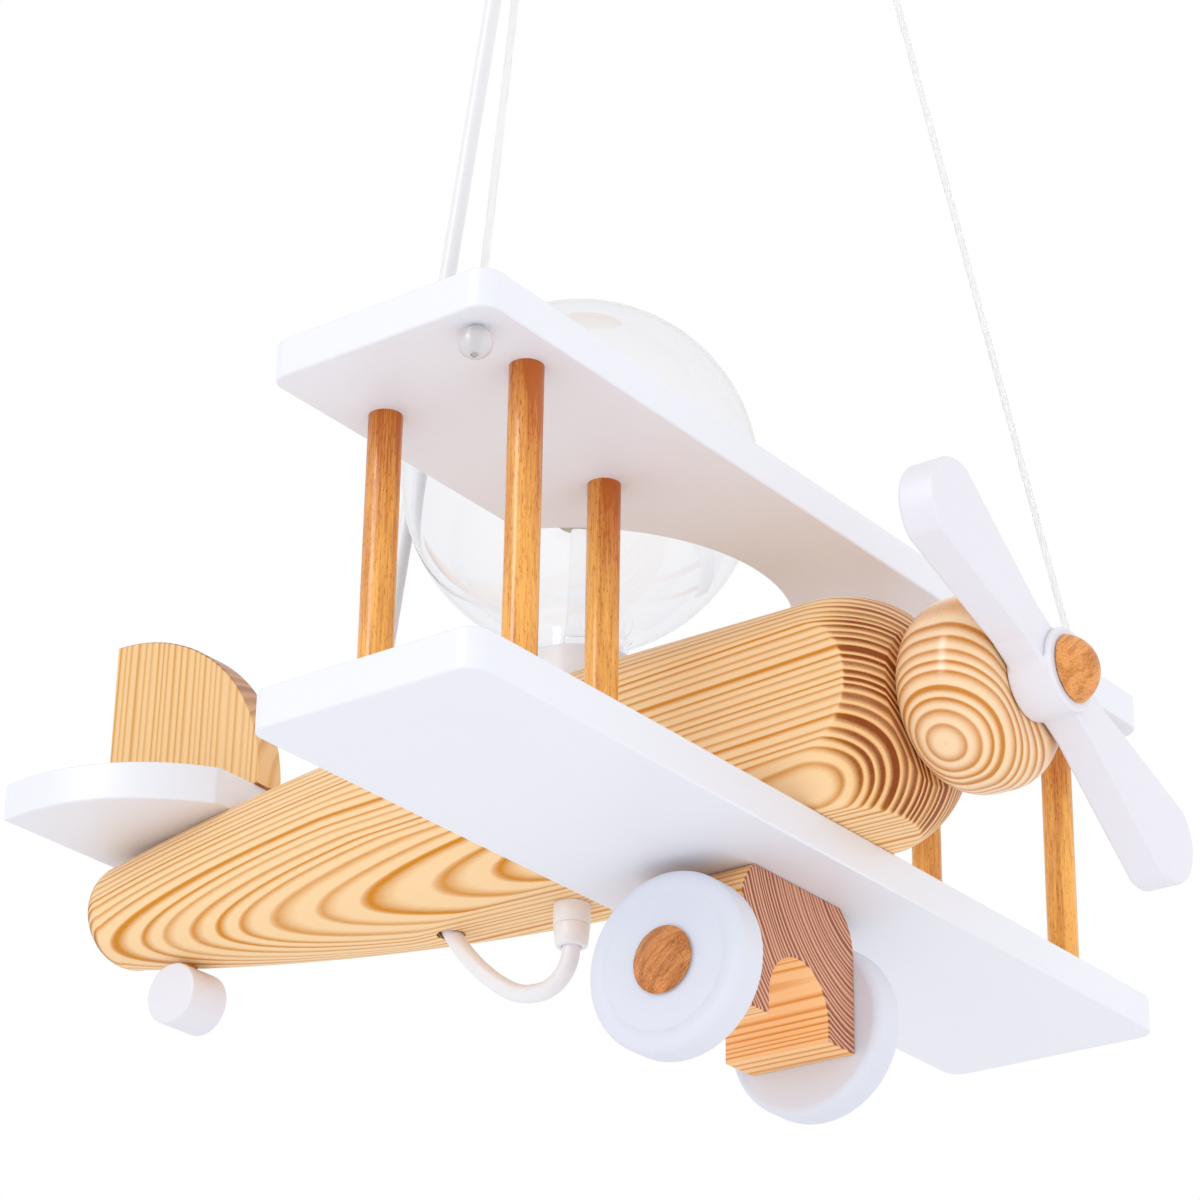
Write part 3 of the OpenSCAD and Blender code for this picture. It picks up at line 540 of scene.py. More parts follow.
def turned(name, profile, place, material, around=96, angle=35):
    """A turned piece. profile is (radius, height) in mm from one end to the
    other; place takes (across, up, height) to the plane's mm."""
    ring = [(cos(2 * pi * k / around), sin(2 * pi * k / around)) for k in range(around)]
    work = bmesh.new()
    rows = []
    for r, h in profile:
        spots = [(r * u, r * v) for u, v in ring] if r > POLE_R else [(0, 0)]
        rows.append([work.verts.new(spot(*place(u, v, h))) for u, v in spots])
    skin(work, rows)
    mesh = bpy.data.meshes.new(name)
    close_up(work, mesh)
    return smooth(link(name, mesh, material), angle)


def rod(r, low, high):
    """Profile of a plain round bar."""
    return [(0, low), (r, low), (r, high), (0, high)]


def upright(x, y):
    return lambda u, v, h: (x + u, y + v, h)


def along_x(y, z):
    return lambda u, v, h: (h, y + u, z + v)


def along_y(x, z, side):
    return lambda u, v, h: (x + u, side * h, z + v)


# Cords

LINE_D, CABLE_D = 0.0024, 0.0062
LINE_FOOT = Vector((0.080, 0.182, -0.514))
LINE_HEAD = Vector((0.0235, 0.066, -0.024))
LINE_ROUTE = [LINE_FOOT.lerp(LINE_HEAD, t) for t in (0, 0.05, 0.35, 0.7, 1)]
LINE_ROUTE += [Vector((0.023, 0.065, -0.018)), Vector((0.023, 0.065, -0.008))]
CABLE_ROUTE = [Vector(point) for point in (
    (-0.020, 0, -0.608), (-0.020, 0, -0.614), (-0.020, 0, -0.622), (-0.021, 0, -0.627),
    (-0.024, 0, -0.6315), (-0.029, 0, -0.6345), (-0.035, 0, -0.635), (-0.042, 0, -0.6335),
    (-0.049, 0, -0.6295), (-0.056, 0, -0.624), (-0.063, 0, -0.617), (-0.069, 0, -0.6095),
    (-0.074, 0, -0.601), (-0.080, 0, -0.589), (-0.087, 0, -0.575), (-0.094, 0, -0.561),
    (-0.101, 0, -0.547), (-0.106, 0, -0.536), (-0.1085, 0, -0.527), (-0.1095, 0, -0.518),
    (-0.109, 0, -0.510), (-0.1065, 0, -0.494), (-0.1005, 0, -0.455), (-0.0915, 0, -0.396),
    (-0.082, 0, -0.334), (-0.0725, 0, -0.272), (-0.063, 0, -0.210), (-0.0535, 0, -0.148),
    (-0.044, 0, -0.086), (-0.0365, 0, -0.036), (-0.0345, 0, -0.022), (-0.034, 0, -0.016),
    (-0.034, 0, -0.010))]


def cord_piece(name, points, thick, material):
    data = bpy.data.curves.new(name, "CURVE")
    data.dimensions = "3D"
    data.bevel_depth = thick / 2
    data.bevel_resolution = 5
    data.resolution_u = 8
    data.use_fill_caps = True
    spline = data.splines.new("BEZIER")
    spline.bezier_points.add(len(points) - 1)
    for point, place in zip(spline.bezier_points, points):
        point.co = place
        point.handle_left_type = point.handle_right_type = "AUTO"
    return link(name, data, material)


def hang_cords():
    for side, flip in SIDES:
        points = [Vector((x, flip * y, z)) for x, y, z in LINE_ROUTE]
        line = cord_piece(f"hanging_line_{side}", points, LINE_D, line_nylon)
        settle(line, "airframe", [f"line_{side}"])
    cable = cord_piece("power_lead", CABLE_ROUTE, CABLE_D, white_cable)
    settle(cable, "airframe", ["power_cable"])


hang_cords()


# Wings

CHORD, SPAN, WING_T, WING_GAP = 84, 384, 13, 102
FRONT_R, REAR_R, WING_EASE = 7, 6, 0.8
BULB_X, NOTCH_R = -70, 74
UPPER_Z = WING_T + WING_GAP


def wing_outline(notched):
    """Plan of a wing: (x, y), front corners rounder than the rear ones."""
    front, rear = CHORD / 2 - FRONT_R, REAR_R - CHORD / 2
    front_tip, rear_tip = SPAN / 2 - FRONT_R, SPAN / 2 - REAR_R
    points = arc(front, front_tip, FRONT_R, 0, 90)
    points += arc(rear, rear_tip, REAR_R, 90, 180)
    if notched:
        # The notch is an arc about the bulb, and small arcs ease its mouth
        mouth = sqrt((NOTCH_R + REAR_R) ** 2 - (rear - BULB_X) ** 2)
        lean = degrees(atan2(mouth, rear - BULB_X))
        points += arc(rear, mouth, REAR_R, 180, 180 + lean, 8)
        points += arc(BULB_X, 0, NOTCH_R, lean, -lean, 64)
        points += arc(rear, -mouth, REAR_R, 180 - lean, 180, 8)
    points += arc(rear, -rear_tip, REAR_R, 180, 270)
    points += arc(front, -front_tip, FRONT_R, 270, 360)
    return points


def wing(name, notched, low):
    piece = board(f"{name}_board", wing_outline(notched), WING_T, WING_EASE,
                  lambda u, v, w: (u, v, low + WING_T / 2 + w), white_board)
    settle(piece, "airframe", [name])


wing("lower_wing", False, 0)
wing("upper_wing", True, UPPER_Z)


# Struts

STRUT_D, STRUT_L = 10.7, 117.8
STRUT_FORE, STRUT_OUTER, STRUT_INNER = 27.3, 154, 78.7
STRUT_ROWS = (
    ("front", STRUT_FORE, STRUT_OUTER), ("rear", -STRUT_FORE, STRUT_OUTER), ("inner", 0, STRUT_INNER))
STRUT_PLACES = {f"strut_{side}_{row}": (x, flip * y) for side, flip in SIDES for row, x, y in STRUT_ROWS}


def strut_tree():
    """One dowel, set upright at every point of the incoming mesh."""
    tree = bpy.data.node_groups.new("strut_row", "GeometryNodeTree")
    interface = tree.interface
    names = {}
    for label, kind in (("Geometry", "Geometry"), ("Diameter", "Float"), ("Length", "Float"),
                        ("Finish", "Material")):
        socket = interface.new_socket(label, in_out="INPUT", socket_type=f"NodeSocket{kind}")
        names[label] = socket.identifier
    interface.new_socket("Geometry", in_out="OUTPUT", socket_type="NodeSocketGeometry")
    n = Nodes(tree)
    given = n.add("NodeGroupInput").outputs
    dowel = n.fed("GeometryNodeMeshCylinder", {
        "Vertices": 48, "Side Segments": 24, "Radius": n.times(given["Diameter"], 0.5),
        "Depth": given["Length"]}, fill_type="NGON").outputs
    rounded = n.fed("GeometryNodeSetShadeSmooth", {
        "Geometry": dowel["Mesh"], "Selection": dowel["Side"]}, domain="FACE").outputs[0]
    row = n.fed("GeometryNodeInstanceOnPoints", {
        "Points": given["Geometry"], "Instance": rounded}).outputs[0]
    real = n.fed("GeometryNodeRealizeInstances", {0: row}).outputs[0]
    finished = n.fed("GeometryNodeSetMaterial", {"Geometry": real, "Material": given["Finish"]}).outputs[0]
    n.join(finished, n.add("NodeGroupOutput").inputs[0])
    return tree, names


def struts():
    tree, names = strut_tree()
    mesh = bpy.data.meshes.new("struts")
    middle = WING_T + WING_GAP / 2
    mesh.from_pydata([spot(x, y, middle) for x, y in STRUT_PLACES.values()], [], [])
    piece = link("struts", mesh, upright_beech)
    modifier = piece.modifiers.new("dowels", "NODES")
    modifier.node_group = tree
    modifier[names["Diameter"]] = STRUT_D / MM
    modifier[names["Length"]] = STRUT_L / MM
    modifier[names["Finish"]] = upright_beech
    settle(baked(piece), "airframe", list(STRUT_PLACES))


struts()


# Fuselage

BODY_W, BODY_D, NOSE_X, NOSE_LEN, NOSE_R = 72, 84.6, 70, 28, 32
TAIL_X, TAPER_X, TAIL_R, TAIL_ROUND, TAIL_RISE = 282.5, 16, 17.5, 12, 2
BODY_R, BODY_TOP, AXIS_Z = BODY_D / 2, WING_T + BODY_W, WING_T + BODY_W / 2
NOSE_START, SHOULDER = NOSE_X - NOSE_LEN, TAIL_X - TAIL_ROUND
TAIL_LE, TAIL_SEAT = -209.5, 24
SEAT_Z = AXIS_Z + TAIL_SEAT
FLAT_EASE, SEAT_STEP = 0.4, 0.02
HOLDER_R, HOLDER_H, HOLDER_SINK, HOLDER_DRILL_TOP = 21, 54, 40, 110
HOLDER_Z = BODY_TOP - HOLDER_SINK
LAMP_AXIS = upright(BULB_X, 0)
CABLE_HOLE_LOW, CABLE_HOLE_HIGH = Vector((-112, 0, -6.7)), Vector((-167, 0, 109))
CABLE_HOLE_R = 4.6


def taper_radius(back):
    """Radius of the turned tail at a distance behind mid-chord: one long arc."""
    run, drop = TAIL_X - TAPER_X, BODY_R - TAIL_R
    r = (run * run + drop * drop) / (2 * drop)
    return BODY_R if back <= TAPER_X else BODY_R - r + sqrt(r * r - (back - TAPER_X) ** 2)


def body_radius(x):
    """Radius of the turned body before its flats are planed."""
    if x > NOSE_START:
        ahead = min(x - NOSE_START, NOSE_LEN)
        return BODY_R - NOSE_R + sqrt(NOSE_R ** 2 - ahead ** 2)
    if -x <= SHOULDER:
        return taper_radius(-x)
    past = min(-x - SHOULDER, TAIL_ROUND)
    return taper_radius(SHOULDER) - TAIL_ROUND + sqrt(max(TAIL_ROUND ** 2 - past ** 2, 0))


def axis_height(x):
    """The turned axis rises a little from the nose to the tail."""
    return AXIS_Z + TAIL_RISE * (NOSE_X - x) / (NOSE_X + TAIL_X)


def soft_least(a, b, ease):
    """The lesser of two lengths, with the corner between them eased."""
    h = max(ease - abs(a - b), 0) / ease
    return min(a, b) - h * h * ease / 4


def body_stations():
    """Places along the body, nose to tail, close together where it is rounded."""
    nose, middle, seat, end = 64, 96, 24, 14
    xs = [NOSE_X - NOSE_LEN * (1 - cos(pi / 2 * i / nose)) for i in range(nose + 1)]
    xs += [NOSE_START + (TAIL_LE - NOSE_START) * i / middle for i in range(1, middle + 1)]
    xs += [TAIL_LE - SEAT_STEP]
    xs += [TAIL_LE - (SHOULDER + TAIL_LE) * i / seat for i in range(1, seat + 1)]
    xs += [-SHOULDER - TAIL_ROUND * sin(pi / 2 * i / end) for i in range(1, end + 1)]
    return sorted(set(xs), reverse=True)


def body_ring(x, around=192):
    """The turned body cut by its planed flats and, at the tail, by the seat. The
    ring starts half a step round, so that no point lies level with the axis."""
    r, centre = body_radius(x), axis_height(x)
    points = []
    for k in range(around):
        turn = 2 * pi * (k + 0.5) / around
        c, s = cos(turn), sin(turn)
        side = BODY_W / 2 / abs(c)
        lid = ((BODY_TOP if s > 0 else WING_T) - centre) / s
        reach = soft_least(r, min(side, lid), FLAT_EASE)
        z = centre + reach * s
        points.append(spot(x, reach * c, min(z, SEAT_Z) if x < TAIL_LE else z))
    return points


def fuselage():
    work = bmesh.new()
    rows = [[work.verts.new(point) for point in body_ring(x)] for x in body_stations()]
    skin(work, rows)
    work.faces.new(rows[0])
    work.faces.new(rows[-1])
    mesh = bpy.data.meshes.new("fuselage_body")
    close_up(work, mesh)
    piece = link("fuselage_body", mesh, fuselage_pine)
    # The lamp holder's bore is blind, and the cable hole slants right through
    bore = rod(HOLDER_R, HOLDER_Z, HOLDER_DRILL_TOP)
    holder_drill = turned("drill_holder", bore, LAMP_AXIS, fuselage_pine)
    run = CABLE_HOLE_HIGH - CABLE_HOLE_LOW
    way, side = run.normalized(), Vector((0, 1, 0))
    over = way.cross(side)
    cable_drill = turned(
        "drill_cable", rod(CABLE_HOLE_R, 0, run.length),
        lambda u, v, h: CABLE_HOLE_LOW + side * u + over * v + way * h, fuselage_pine, around=40)
    piece = carved(piece, ("DIFFERENCE", holder_drill), ("DIFFERENCE", cable_drill))
    settle(smooth(piece, angle=30), "airframe", ["fuselage"])


fuselage()


# Cowl, propeller and its peg

END_PLAY = 0.3
COWL_D, COWL_LEN, COWL_REAR, COWL_FRONT = 63, 35.6, 16.5, 14
PROP_BACK, PROP_T = NOSE_X + COWL_LEN + END_PLAY, 15.5
PROP_FRONT = PROP_BACK + PROP_T
HUB_D, HUB_EASE, BLADE_T, BLADE_EASE, BLADE_SET = 27, 0.9, 12.6, 1.3, 0.6
BLADE_W, ROOT_W, ROOT_X, CORNER_R = 30.6, 15.2, 20, 5
PROP_LEN, HUB_SHIFT, PROP_REST, BORE_D, BORE_PAST = 170, 1.7, 28.5, 8.2, 2
PEG_HEAD_D, PROP_PEG_H, PROP_PEG_D, PROP_PEG_SEAT = 22, 8, 8, 16


def domed(head_h, shank_d, shank_l, base):
    """Profile of a domed peg: shank first, then the head that stands on base."""
    edge, shank = PEG_HEAD_D / 2, shank_d / 2
    lip_in, lip_out, lip_h = edge - 0.6, edge - 0.1, 0.25
    r = (edge ** 2 + head_h ** 2) / (2 * head_h)
    half = degrees(asin(min(edge / r, 1)))
    points = [(0, base - shank_l), (shank, base - shank_l), (shank, base)]
    points += [(lip_in, base), (lip_out, base + lip_h)]
    return points + arc(0, base + head_h - r, r, 90 - half, 90, 16)[1:]


def cowl():
    r, front = COWL_D / 2, NOSE_X + COWL_LEN
    profile = [(0, NOSE_X)]
    profile += arc(r - COWL_REAR, NOSE_X + COWL_REAR, COWL_REAR, -90, 0, 15)
    profile += arc(r - COWL_FRONT, front - COWL_FRONT, COWL_FRONT, 0, 90, 15)
    profile += [(0, front)]
    piece = turned("cowl_barrel", profile, along_x(0, AXIS_Z), cowl_pine, around=128)
    settle(piece, "airframe", ["cowl"])


def blade_outline():
    """Both blades with their hub, (along, across) in mm, with eased inner corners."""
    hub, root, tip = HUB_D / 2, ROOT_W / 2, BLADE_W / 2
    end = PROP_LEN / 2 - tip
    # The eased corner is an arc that touches the hub and the blade's straight side
    across = root + CORNER_R
    corner = sqrt((hub + CORNER_R) ** 2 - across ** 2)
    lean = degrees(atan2(across, corner))
    points = []
    for sign in (1, -1):
        reach = end + sign * HUB_SHIFT
        flare = degrees(asin((tip - root) / (reach - ROOT_X)))
        blade = arc(corner, -across, CORNER_R, 180 - lean, 90, 8)
        blade += arc(ROOT_X, 0, root, -90, flare - 90, 2)
        blade += arc(reach, 0, tip, flare - 90, 90 - flare, 32)
        blade += arc(ROOT_X, 0, root, 90 - flare, 90, 2)
        blade += arc(corner, across, CORNER_R, 270, 180 + lean, 8)
        blade += arc(0, 0, hub, lean, 180 - lean, 18)[1:-1]
        points += [(sign * x, sign * y) for x, y in blade]
    return points


def propeller():
    c, s = cos(radians(PROP_REST)), sin(radians(PROP_REST))
    middle = PROP_BACK + BLADE_SET + BLADE_T / 2
    axis = along_x(0, AXIS_Z)
    blades = board("propeller_board", blade_outline(), BLADE_T, BLADE_EASE,
                   lambda u, v, w: (middle + w, u * c + v * s, AXIS_Z - u * s + v * c), white_turned_shaded)
    r = HUB_D / 2 - HUB_EASE
    boss = [(0, PROP_BACK)]
    boss += arc(r, PROP_BACK + HUB_EASE, HUB_EASE, -90, 0, 6)
    boss += arc(r, PROP_FRONT - HUB_EASE, HUB_EASE, 0, 90, 6)
    boss += [(0, PROP_FRONT)]
    hub = turned("hub_boss", boss, axis, white_turned_shaded)
    bore = rod(BORE_D / 2, PROP_BACK - BORE_PAST, PROP_FRONT + BORE_PAST)
    drill = turned("hub_drill", bore, axis, white_turned_shaded, around=48)
    piece = flats_kept(carved(blades, ("UNION", hub), ("DIFFERENCE", drill)))
    settle(piece, "propeller", ["propeller"])
    shank = PROP_T + 2 * END_PLAY + PROP_PEG_SEAT
    profile = domed(PROP_PEG_H, PROP_PEG_D, shank, PROP_FRONT + END_PLAY)
    peg = turned("propeller_pin", profile, axis, nose_beech, around=64)
    settle(peg, "airframe", ["propeller_peg"])


cowl()
propeller()


# Landing gear

BLOCK_W, BLOCK_H, BLOCK_L, BLOCK_EASE = 62.6, 47, 40, 0.7
ARCH_W, ARCH_H, SHOULDER_R, SHOULDER_CUT = 33, 22.5, 17, 3
AXLE_Z, AXLE_D, AXLE_SEAT, AXLE_HEAD_H, RUN_PLAY = -34, 9, 12, 3.5, 0.06
WHEEL_D, WHEEL_W, WHEEL_EASE = 58.6, 13.5, 3
WHEEL_IN = BLOCK_W / 2 + END_PLAY
WHEEL_OUT = WHEEL_IN + WHEEL_W
# The wheel's outer face lies a little below its rim, down a soft step
RIM_W, STEP_W, STEP_EASE, FACE_SINK = 6.2, 0.6, 0.05, 0.4


def block_outline():
    """Front of the gear block: (y, z), shoulders cut by the wing, arch below."""
    half, arch, drop = BLOCK_W / 2, ARCH_W / 2, SHOULDER_CUT - SHOULDER_R
    top = degrees(asin(-drop / SHOULDER_R))
    points = [(-half, -BLOCK_H), (-arch, -BLOCK_H)]
    points += arc(0, -BLOCK_H + ARCH_H - arch, arch, 180, 0, 32)
    points += [(arch, -BLOCK_H), (half, -BLOCK_H)]
    points += arc(half - SHOULDER_R, drop, SHOULDER_R, 0, top, 14)
    points += arc(SHOULDER_R - half, drop, SHOULDER_R, 180 - top, 180, 14)
    return points


def wheel_profile():
    r, bore, face = WHEEL_D / 2, AXLE_D / 2 + RUN_PLAY, WHEEL_OUT - FACE_SINK
    rim = r - RIM_W
    points = [(bore, WHEEL_IN)]
    points += arc(r - WHEEL_EASE, WHEEL_IN + WHEEL_EASE, WHEEL_EASE, -90, 0, 9)
    points += arc(r - WHEEL_EASE, WHEEL_OUT - WHEEL_EASE, WHEEL_EASE, 0, 90, 9)
    points += [(rim, WHEEL_OUT), (rim - STEP_W, face + STEP_EASE), (rim - 2 * STEP_W, face)]
    points += [(bore, face), (bore, WHEEL_IN)]
    return points


def landing_gear():
    block = board("gear_arch", block_outline(), BLOCK_L, BLOCK_EASE,
                  lambda u, v, w: (w, u, v), block_pine)
    settle(block, "airframe", ["gear_block"])
    shank = WHEEL_W + 2 * END_PLAY + AXLE_SEAT
    pin = domed(AXLE_HEAD_H, AXLE_D, shank, WHEEL_OUT + END_PLAY)
    for name, side in SIDES:
        axle = along_y(0, AXLE_Z, side)
        wheel = turned(f"wheel_disc_{name}", wheel_profile(), axle, wheel_paint_shaded, around=128)
        settle(wheel, f"wheel_{name}", [f"wheel_{name}"])
        peg = turned(f"axle_pin_{name}", pin, axle, axle_beech, around=64)
        settle(peg, "airframe", [f"axle_peg_{name}"])


landing_gear()


# Tail

TAIL_CHORD, TAIL_SPAN, TAIL_ARC, TAIL_WIDEST, TAIL_T, TAIL_EASE = 74.5, 116, 71.4, 14, 14, 0.8
TAIL_TE = TAIL_LE - TAIL_CHORD
FIN_L, FIN_H, FIN_T, FIN_EASE = 76, 73, 12.5, 0.9
ROLLER_X, ROLLER_R, ROLLER_L, ROLLER_EASE, ROLLER_GAP = -242, 11.2, 18, 1, 1.4


def tailplane():
    wide, shift = TAIL_TE + TAIL_WIDEST, TAIL_ARC - TAIL_SPAN / 2
    rear = degrees(asin(-TAIL_WIDEST / TAIL_ARC))
    front = degrees(asin((TAIL_LE - wide) / TAIL_ARC))
    edge = [(x, y) for y, x in arc(-shift, wide, TAIL_ARC, rear, front, 40)]
    outline = edge + [(x, -y) for x, y in reversed(edge)]
    piece = board("tailplane_board", outline, TAIL_T, TAIL_EASE,
                  lambda u, v, w: (u, v, SEAT_Z + TAIL_T / 2 + w), white_board)
    settle(piece, "airframe", ["tailplane"])


def fin():
    foot = SEAT_Z + TAIL_T
    quarter = arc(0, 0, 1, 0, 90, 36)
    outline = [(TAIL_TE, foot)] + [(TAIL_TE + FIN_L * u, foot + FIN_H * v) for u, v in quarter]
    piece = board("fin_board", outline, FIN_T, FIN_EASE, lambda u, v, w: (u, w, v), fin_pine)
    settle(piece, "airframe", ["fin"])


def tail_roller():
    z = axis_height(ROLLER_X) - taper_radius(-ROLLER_X) - ROLLER_GAP - ROLLER_R
    end = -ROLLER_L / 2
    profile = [(0, end)] + arc(ROLLER_R - ROLLER_EASE, end + ROLLER_EASE, ROLLER_EASE, -90, 0, 6)
    profile += [(r, -h) for r, h in reversed(profile)]
    piece = turned("tail_roll", profile, along_y(ROLLER_X, z, 1), white_turned_shaded, around=72)
    settle(piece, "airframe", ["tail_roller"])


tailplane()
fin()
tail_roller()


# Lamp

HOLDER_BASE, CONTACT_H, PIP_H, BULB_PLAY = 18, 3.2, 2.6, 0.5
BULB_Z, BULB_LEN = HOLDER_Z + HOLDER_BASE + CONTACT_H + END_PLAY, 167.4
CAP_Z, CAP_L, CAP_R = BULB_Z + PIP_H, 23, 13.3
CAP_TOP = CAP_Z + CAP_L
CAP_FOOT_R, CAP_FOOT_H = 9.3, 2
THREAD_FOOT, THREAD_DEPTH, THREAD_PITCH, THREAD_TURNS = 2.5, 1.2, 3.6, 5
GLOBE_R, NECK_R, NECK_FILLET, GLASS_T = 62.5, 17.5, 9.0, 0.9
GLOBE_Z = BULB_Z + BULB_LEN - GLOBE_R
# Radius and height above the cap, where the glass and the stem leave it
NECK_FOOT = ((11.8, 0), (12.6, 0.6), (15.2, 3.0), (16.9, 5.0), (17.4, 6.4))
STEM_FOOT = ((0, 0), (10.6, 0), (10.2, 3), (8, 8), (5.2, 14), (4, 22))
# Radius and depth below the stem's top
STEM_HEAD = ((3, 4), (2.4, 0.5), (0, 0))
STEM_DROP = 18
STEM_TOP = GLOBE_Z - STEM_DROP
RIM_EASE, SKIRT_LAP, MOUTH_R = 1.2, 1, NECK_R + 2 * BULB_PLAY
MOUTH_EASE_R, MOUTH_EASE_H = 0.8, 0.7
GLAND_L, GLAND_R, GLAND_BORE, SHANK_R, SHANK_L = 15, 6.2, 3.1, 5, 12


def glass_profile():
    """Outside of the glass from the cap up to the crown, with a flowing neck."""
    # Fillet circle that touches the neck's side and the globe from outside
    cx = NECK_R + NECK_FILLET
    cz = GLOBE_Z - sqrt((GLOBE_R + NECK_FILLET) ** 2 - cx ** 2)
    lean = degrees(atan2(GLOBE_Z - cz, -cx))
    points = [(r, CAP_TOP + h) for r, h in NECK_FOOT] + [(NECK_R, cz)]
    points += arc(cx, cz, NECK_FILLET, 180, lean, 10)[1:]
    r, z = points[-1]
    start = degrees(atan2(z - GLOBE_Z, r))
    points += arc(0, GLOBE_Z, GLOBE_R, start, 90, 64)[1:]
    return points[:-1] + [(0, GLOBE_Z + GLOBE_R)]


def inside(outer):
    """The glass's inner face, one wall in from each point of the outer one."""
    points = [(outer[0][0] - GLASS_T, outer[0][1])]
    for before, (r, h), after in zip(outer, outer[1:], outer[2:]):
        along = Vector((after[0] - before[0], after[1] - before[1])).normalized()
        points.append((max(r - along.y * GLASS_T, 0), h + along.x * GLASS_T))
    return points + [(0, outer[-1][1] - GLASS_T)]


def bulb():
    outer = glass_profile()
    globe = turned("globe", outer[::-1] + inside(outer), LAMP_AXIS, globe_glass, around=128, angle=60)
    settle(globe, "bulb", ["bulb_glass"])

    profile = [(r, CAP_TOP + h) for r, h in STEM_FOOT] + [(r, STEM_TOP - h) for r, h in STEM_HEAD]
    stem = turned("stem", profile, LAMP_AXIS, stem_glass, around=48, angle=60)
    settle(stem, "bulb", ["bulb_stem"])

    root, ridge, thread, steps = CAP_R - THREAD_DEPTH, THREAD_DEPTH / 2, CAP_Z + THREAD_FOOT, 8
    profile = [(0, CAP_Z), (CAP_FOOT_R, CAP_Z), (root, CAP_Z + CAP_FOOT_H)]
    profile += [(root + ridge - ridge * cos(2 * pi * i / steps), thread + THREAD_PITCH * i / steps)
                for i in range(steps * THREAD_TURNS + 1)]
    profile += [(root, CAP_TOP), (0, CAP_TOP)]
    cap = turned("screw_cap", profile, LAMP_AXIS, cap_brass, around=72, angle=60)
    settle(cap, "bulb", ["bulb_cap"])


def lamp_holder():
    rim, bottom, skirt = HOLDER_Z + HOLDER_H, HOLDER_Z + HOLDER_BASE, CAP_TOP - SKIRT_LAP
    well = CAP_R + BULB_PLAY
    profile = [(0, HOLDER_Z), (HOLDER_R, HOLDER_Z)]
    profile += [(HOLDER_R, rim - RIM_EASE), (HOLDER_R - RIM_EASE / 3, rim - RIM_EASE / 3)]
    profile += [(HOLDER_R - RIM_EASE, rim), (MOUTH_R + MOUTH_EASE_R, rim), (MOUTH_R, rim - MOUTH_EASE_H)]
    profile += [(MOUTH_R, skirt), (well, skirt), (well, bottom), (0, bottom)]
    holder = turned("holder_cup", profile, LAMP_AXIS, white_plastic, around=72)
    settle(holder, "airframe", ["lamp_holder"])


def cable_gland():
    low, middle, top = WING_T - GLAND_L, WING_T - GLAND_L / 2, WING_T + SHANK_L
    # The corners are eased by the small amounts added and taken off here
    profile = [(GLAND_BORE, middle), (GLAND_R - 0.2, middle), (GLAND_R, middle + 0.3)]
    profile += [(GLAND_R, WING_T - 0.4), (GLAND_R - 0.3, WING_T), (SHANK_R, WING_T)]
    profile += [(SHANK_R, top), (GLAND_BORE, top), (GLAND_BORE, middle)]
    body = turned("gland_body", profile, LAMP_AXIS, white_plastic, around=48)
    settle(body, "airframe", ["cable_gland"])

    lip, seat = low + 0.6, middle - 0.1
    profile = [(GLAND_BORE, lip), (GLAND_BORE + 0.5, low), (GLAND_R - 1.2, low + 0.2)]
    profile += [(GLAND_R - 0.7, low + 1.0), (GLAND_R - 0.1, middle - 0.5), (GLAND_R - 0.2, seat)]
    profile += [(GLAND_BORE, seat), (GLAND_BORE, lip)]
    nut = turned("gland_cap", profile, LAMP_AXIS, white_plastic, around=48)
    settle(nut, "airframe", ["gland_nut"])


bulb()
lamp_holder()
cable_gland()


# Finishes for the pieces that keep their CAD shape

def dress(material, *nodes):
    for name in nodes:
        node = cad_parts[name]
        node.data.materials.clear()
        node.data.materials.append(material)


dress(rose_pine, "ceiling_rose")
dress(upright_beech, "wing_dowels", "gear_dowels", "tail_dowels", "cowl_dowel", "roller_pin")
dress(white_plastic, "terminal_block")
dress(bead_clear, "line_bead_right", "line_bead_left")
dress(cap_brass, "line_sleeve_right", "line_sleeve_left", "holder_contact", "bulb_contact")
dress(glow_stick, "bulb_filament")


# Floor, light and backdrop

WHITE = (1.0, 1.0, 1.0, 1)
SOFT_LIGHT, BACKDROP = 0.96, 1.0
FLOOR_Z, FLOOR_HALF = -1.3, 3.0
PAPER, PAPER_SHADE = (0.86, 0.86, 0.87, 1), (0.83, 0.83, 0.84, 1)
LIT_PLACE = Vector((0, 0, -0.55))


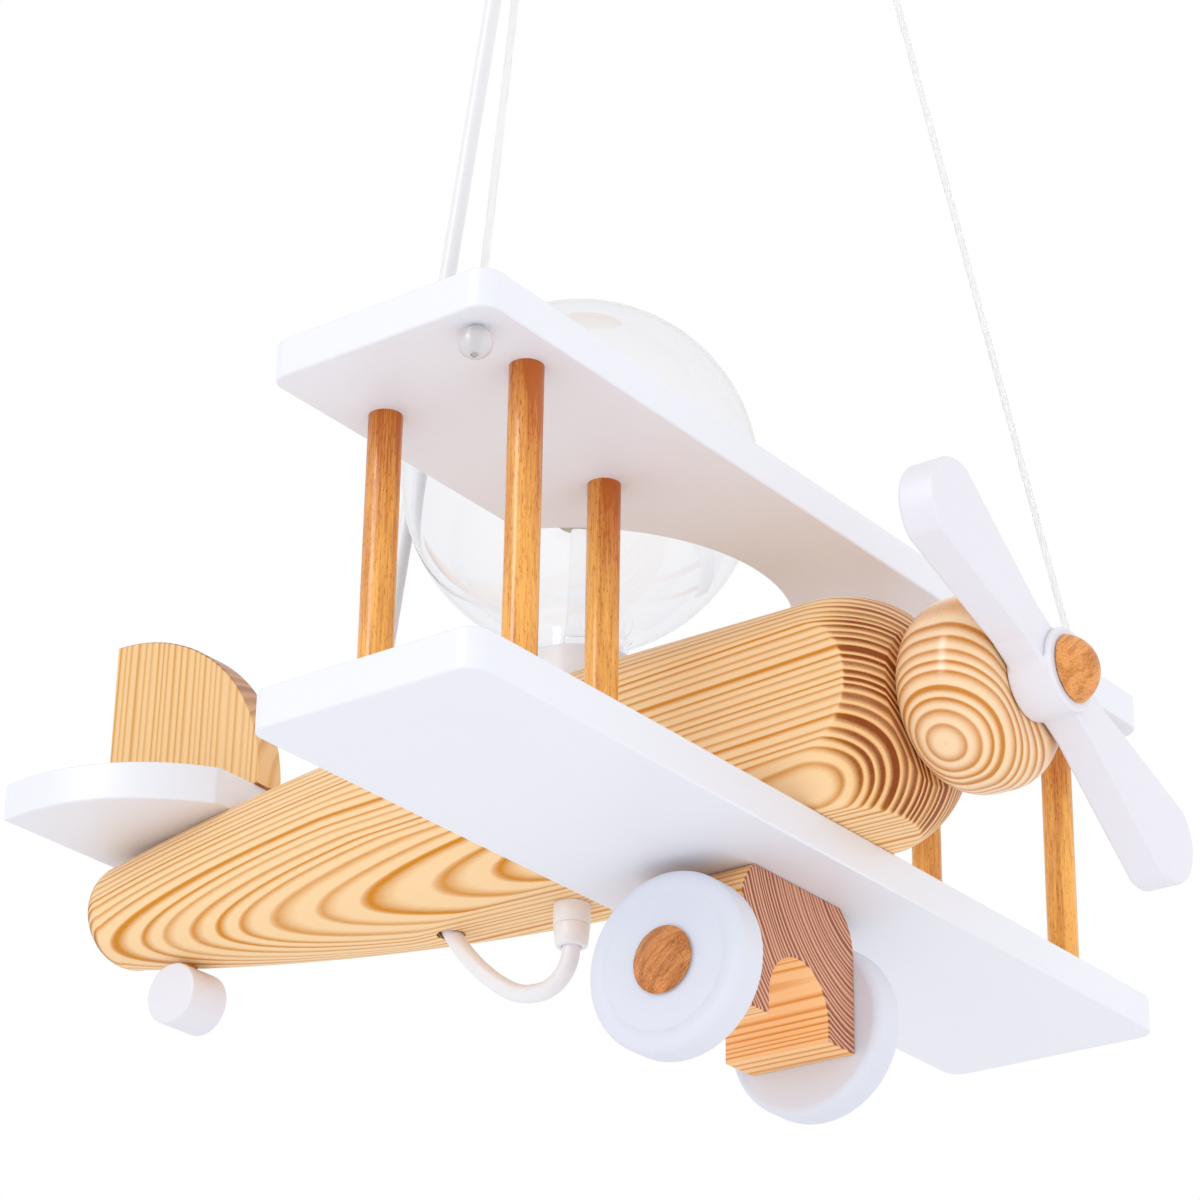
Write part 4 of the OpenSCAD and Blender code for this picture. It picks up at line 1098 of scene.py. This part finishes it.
def backdrop():
    """Soft light from all round, and plain white where the camera, gloss or glass sees it."""
    world = bpy.data.worlds.new("studio")
    scene.world = world
    world.use_nodes = True
    n = Nodes(world.node_tree)
    n.tree.nodes.clear()
    ray = n.add("ShaderNodeLightPath").outputs
    seen = n.math("MAXIMUM", ray["Is Camera Ray"], ray["Is Glossy Ray"])
    seen = n.math("MAXIMUM", seen, ray["Is Transmission Ray"])
    soft = n.fed("ShaderNodeBackground", {"Color": WHITE, "Strength": SOFT_LIGHT})
    white = n.fed("ShaderNodeBackground", {"Color": WHITE, "Strength": BACKDROP})
    both = n.fed("ShaderNodeMixShader", {0: seen, 1: soft.outputs[0], 2: white.outputs[0]})
    n.join(both.outputs[0], n.add("ShaderNodeOutputWorld").inputs[0])


def floor():
    material, n, shader = new_material("floor_paper")
    mottle = n.noise(n.add("ShaderNodeTexCoord").outputs["Object"], scale=3.0)
    n.join(n.mix(mottle, PAPER, PAPER_SHADE), shader.inputs["Base Color"])
    set_sockets(shader, {"Roughness": 0.8})
    work = bmesh.new()
    place = Matrix.Translation((0, 0, FLOOR_Z))
    bmesh.ops.create_grid(work, x_segments=8, y_segments=8, size=FLOOR_HALF, matrix=place)
    mesh = bpy.data.meshes.new("floor")
    work.to_mesh(mesh)
    work.free()
    link("floor", mesh, material)


def softbox(name, place, size, power, gleam=False):
    """A soft panel of light. One that gleams only shows as a reflection."""
    data = bpy.data.lights.new(name, "AREA")
    data.shape = "RECTANGLE"
    data.size, data.size_y = size
    data.energy = power
    panel = bpy.data.objects.new(name, data)
    scene.collection.objects.link(panel)
    panel.location = place
    panel.rotation_euler = (LIT_PLACE - Vector(place)).to_track_quat("-Z", "Y").to_euler()
    panel.visible_camera = panel.visible_transmission = False
    panel.visible_glossy = gleam
    panel.visible_diffuse = not gleam


backdrop()
floor()
softbox("left", place=(-1.9, -0.4, -0.2), size=(1.6, 1.6), power=2.5)
softbox("side", place=(0.1, -2.0, -0.2), size=(1.6, 1.6), power=3)
softbox("behind", place=(0.7, 1.8, 0.2), size=(1.5, 1.5), power=5)
softbox("under", place=(-1.2, -0.6, -1.2), size=(1.2, 1.2), power=0.8)
softbox("below", place=(0.4, -0.3, -1.25), size=(1.6, 1.6), power=3)
softbox("gleam", place=(-0.3, -1.9, 0.4), size=(0.6, 1.6), power=30, gleam=True)
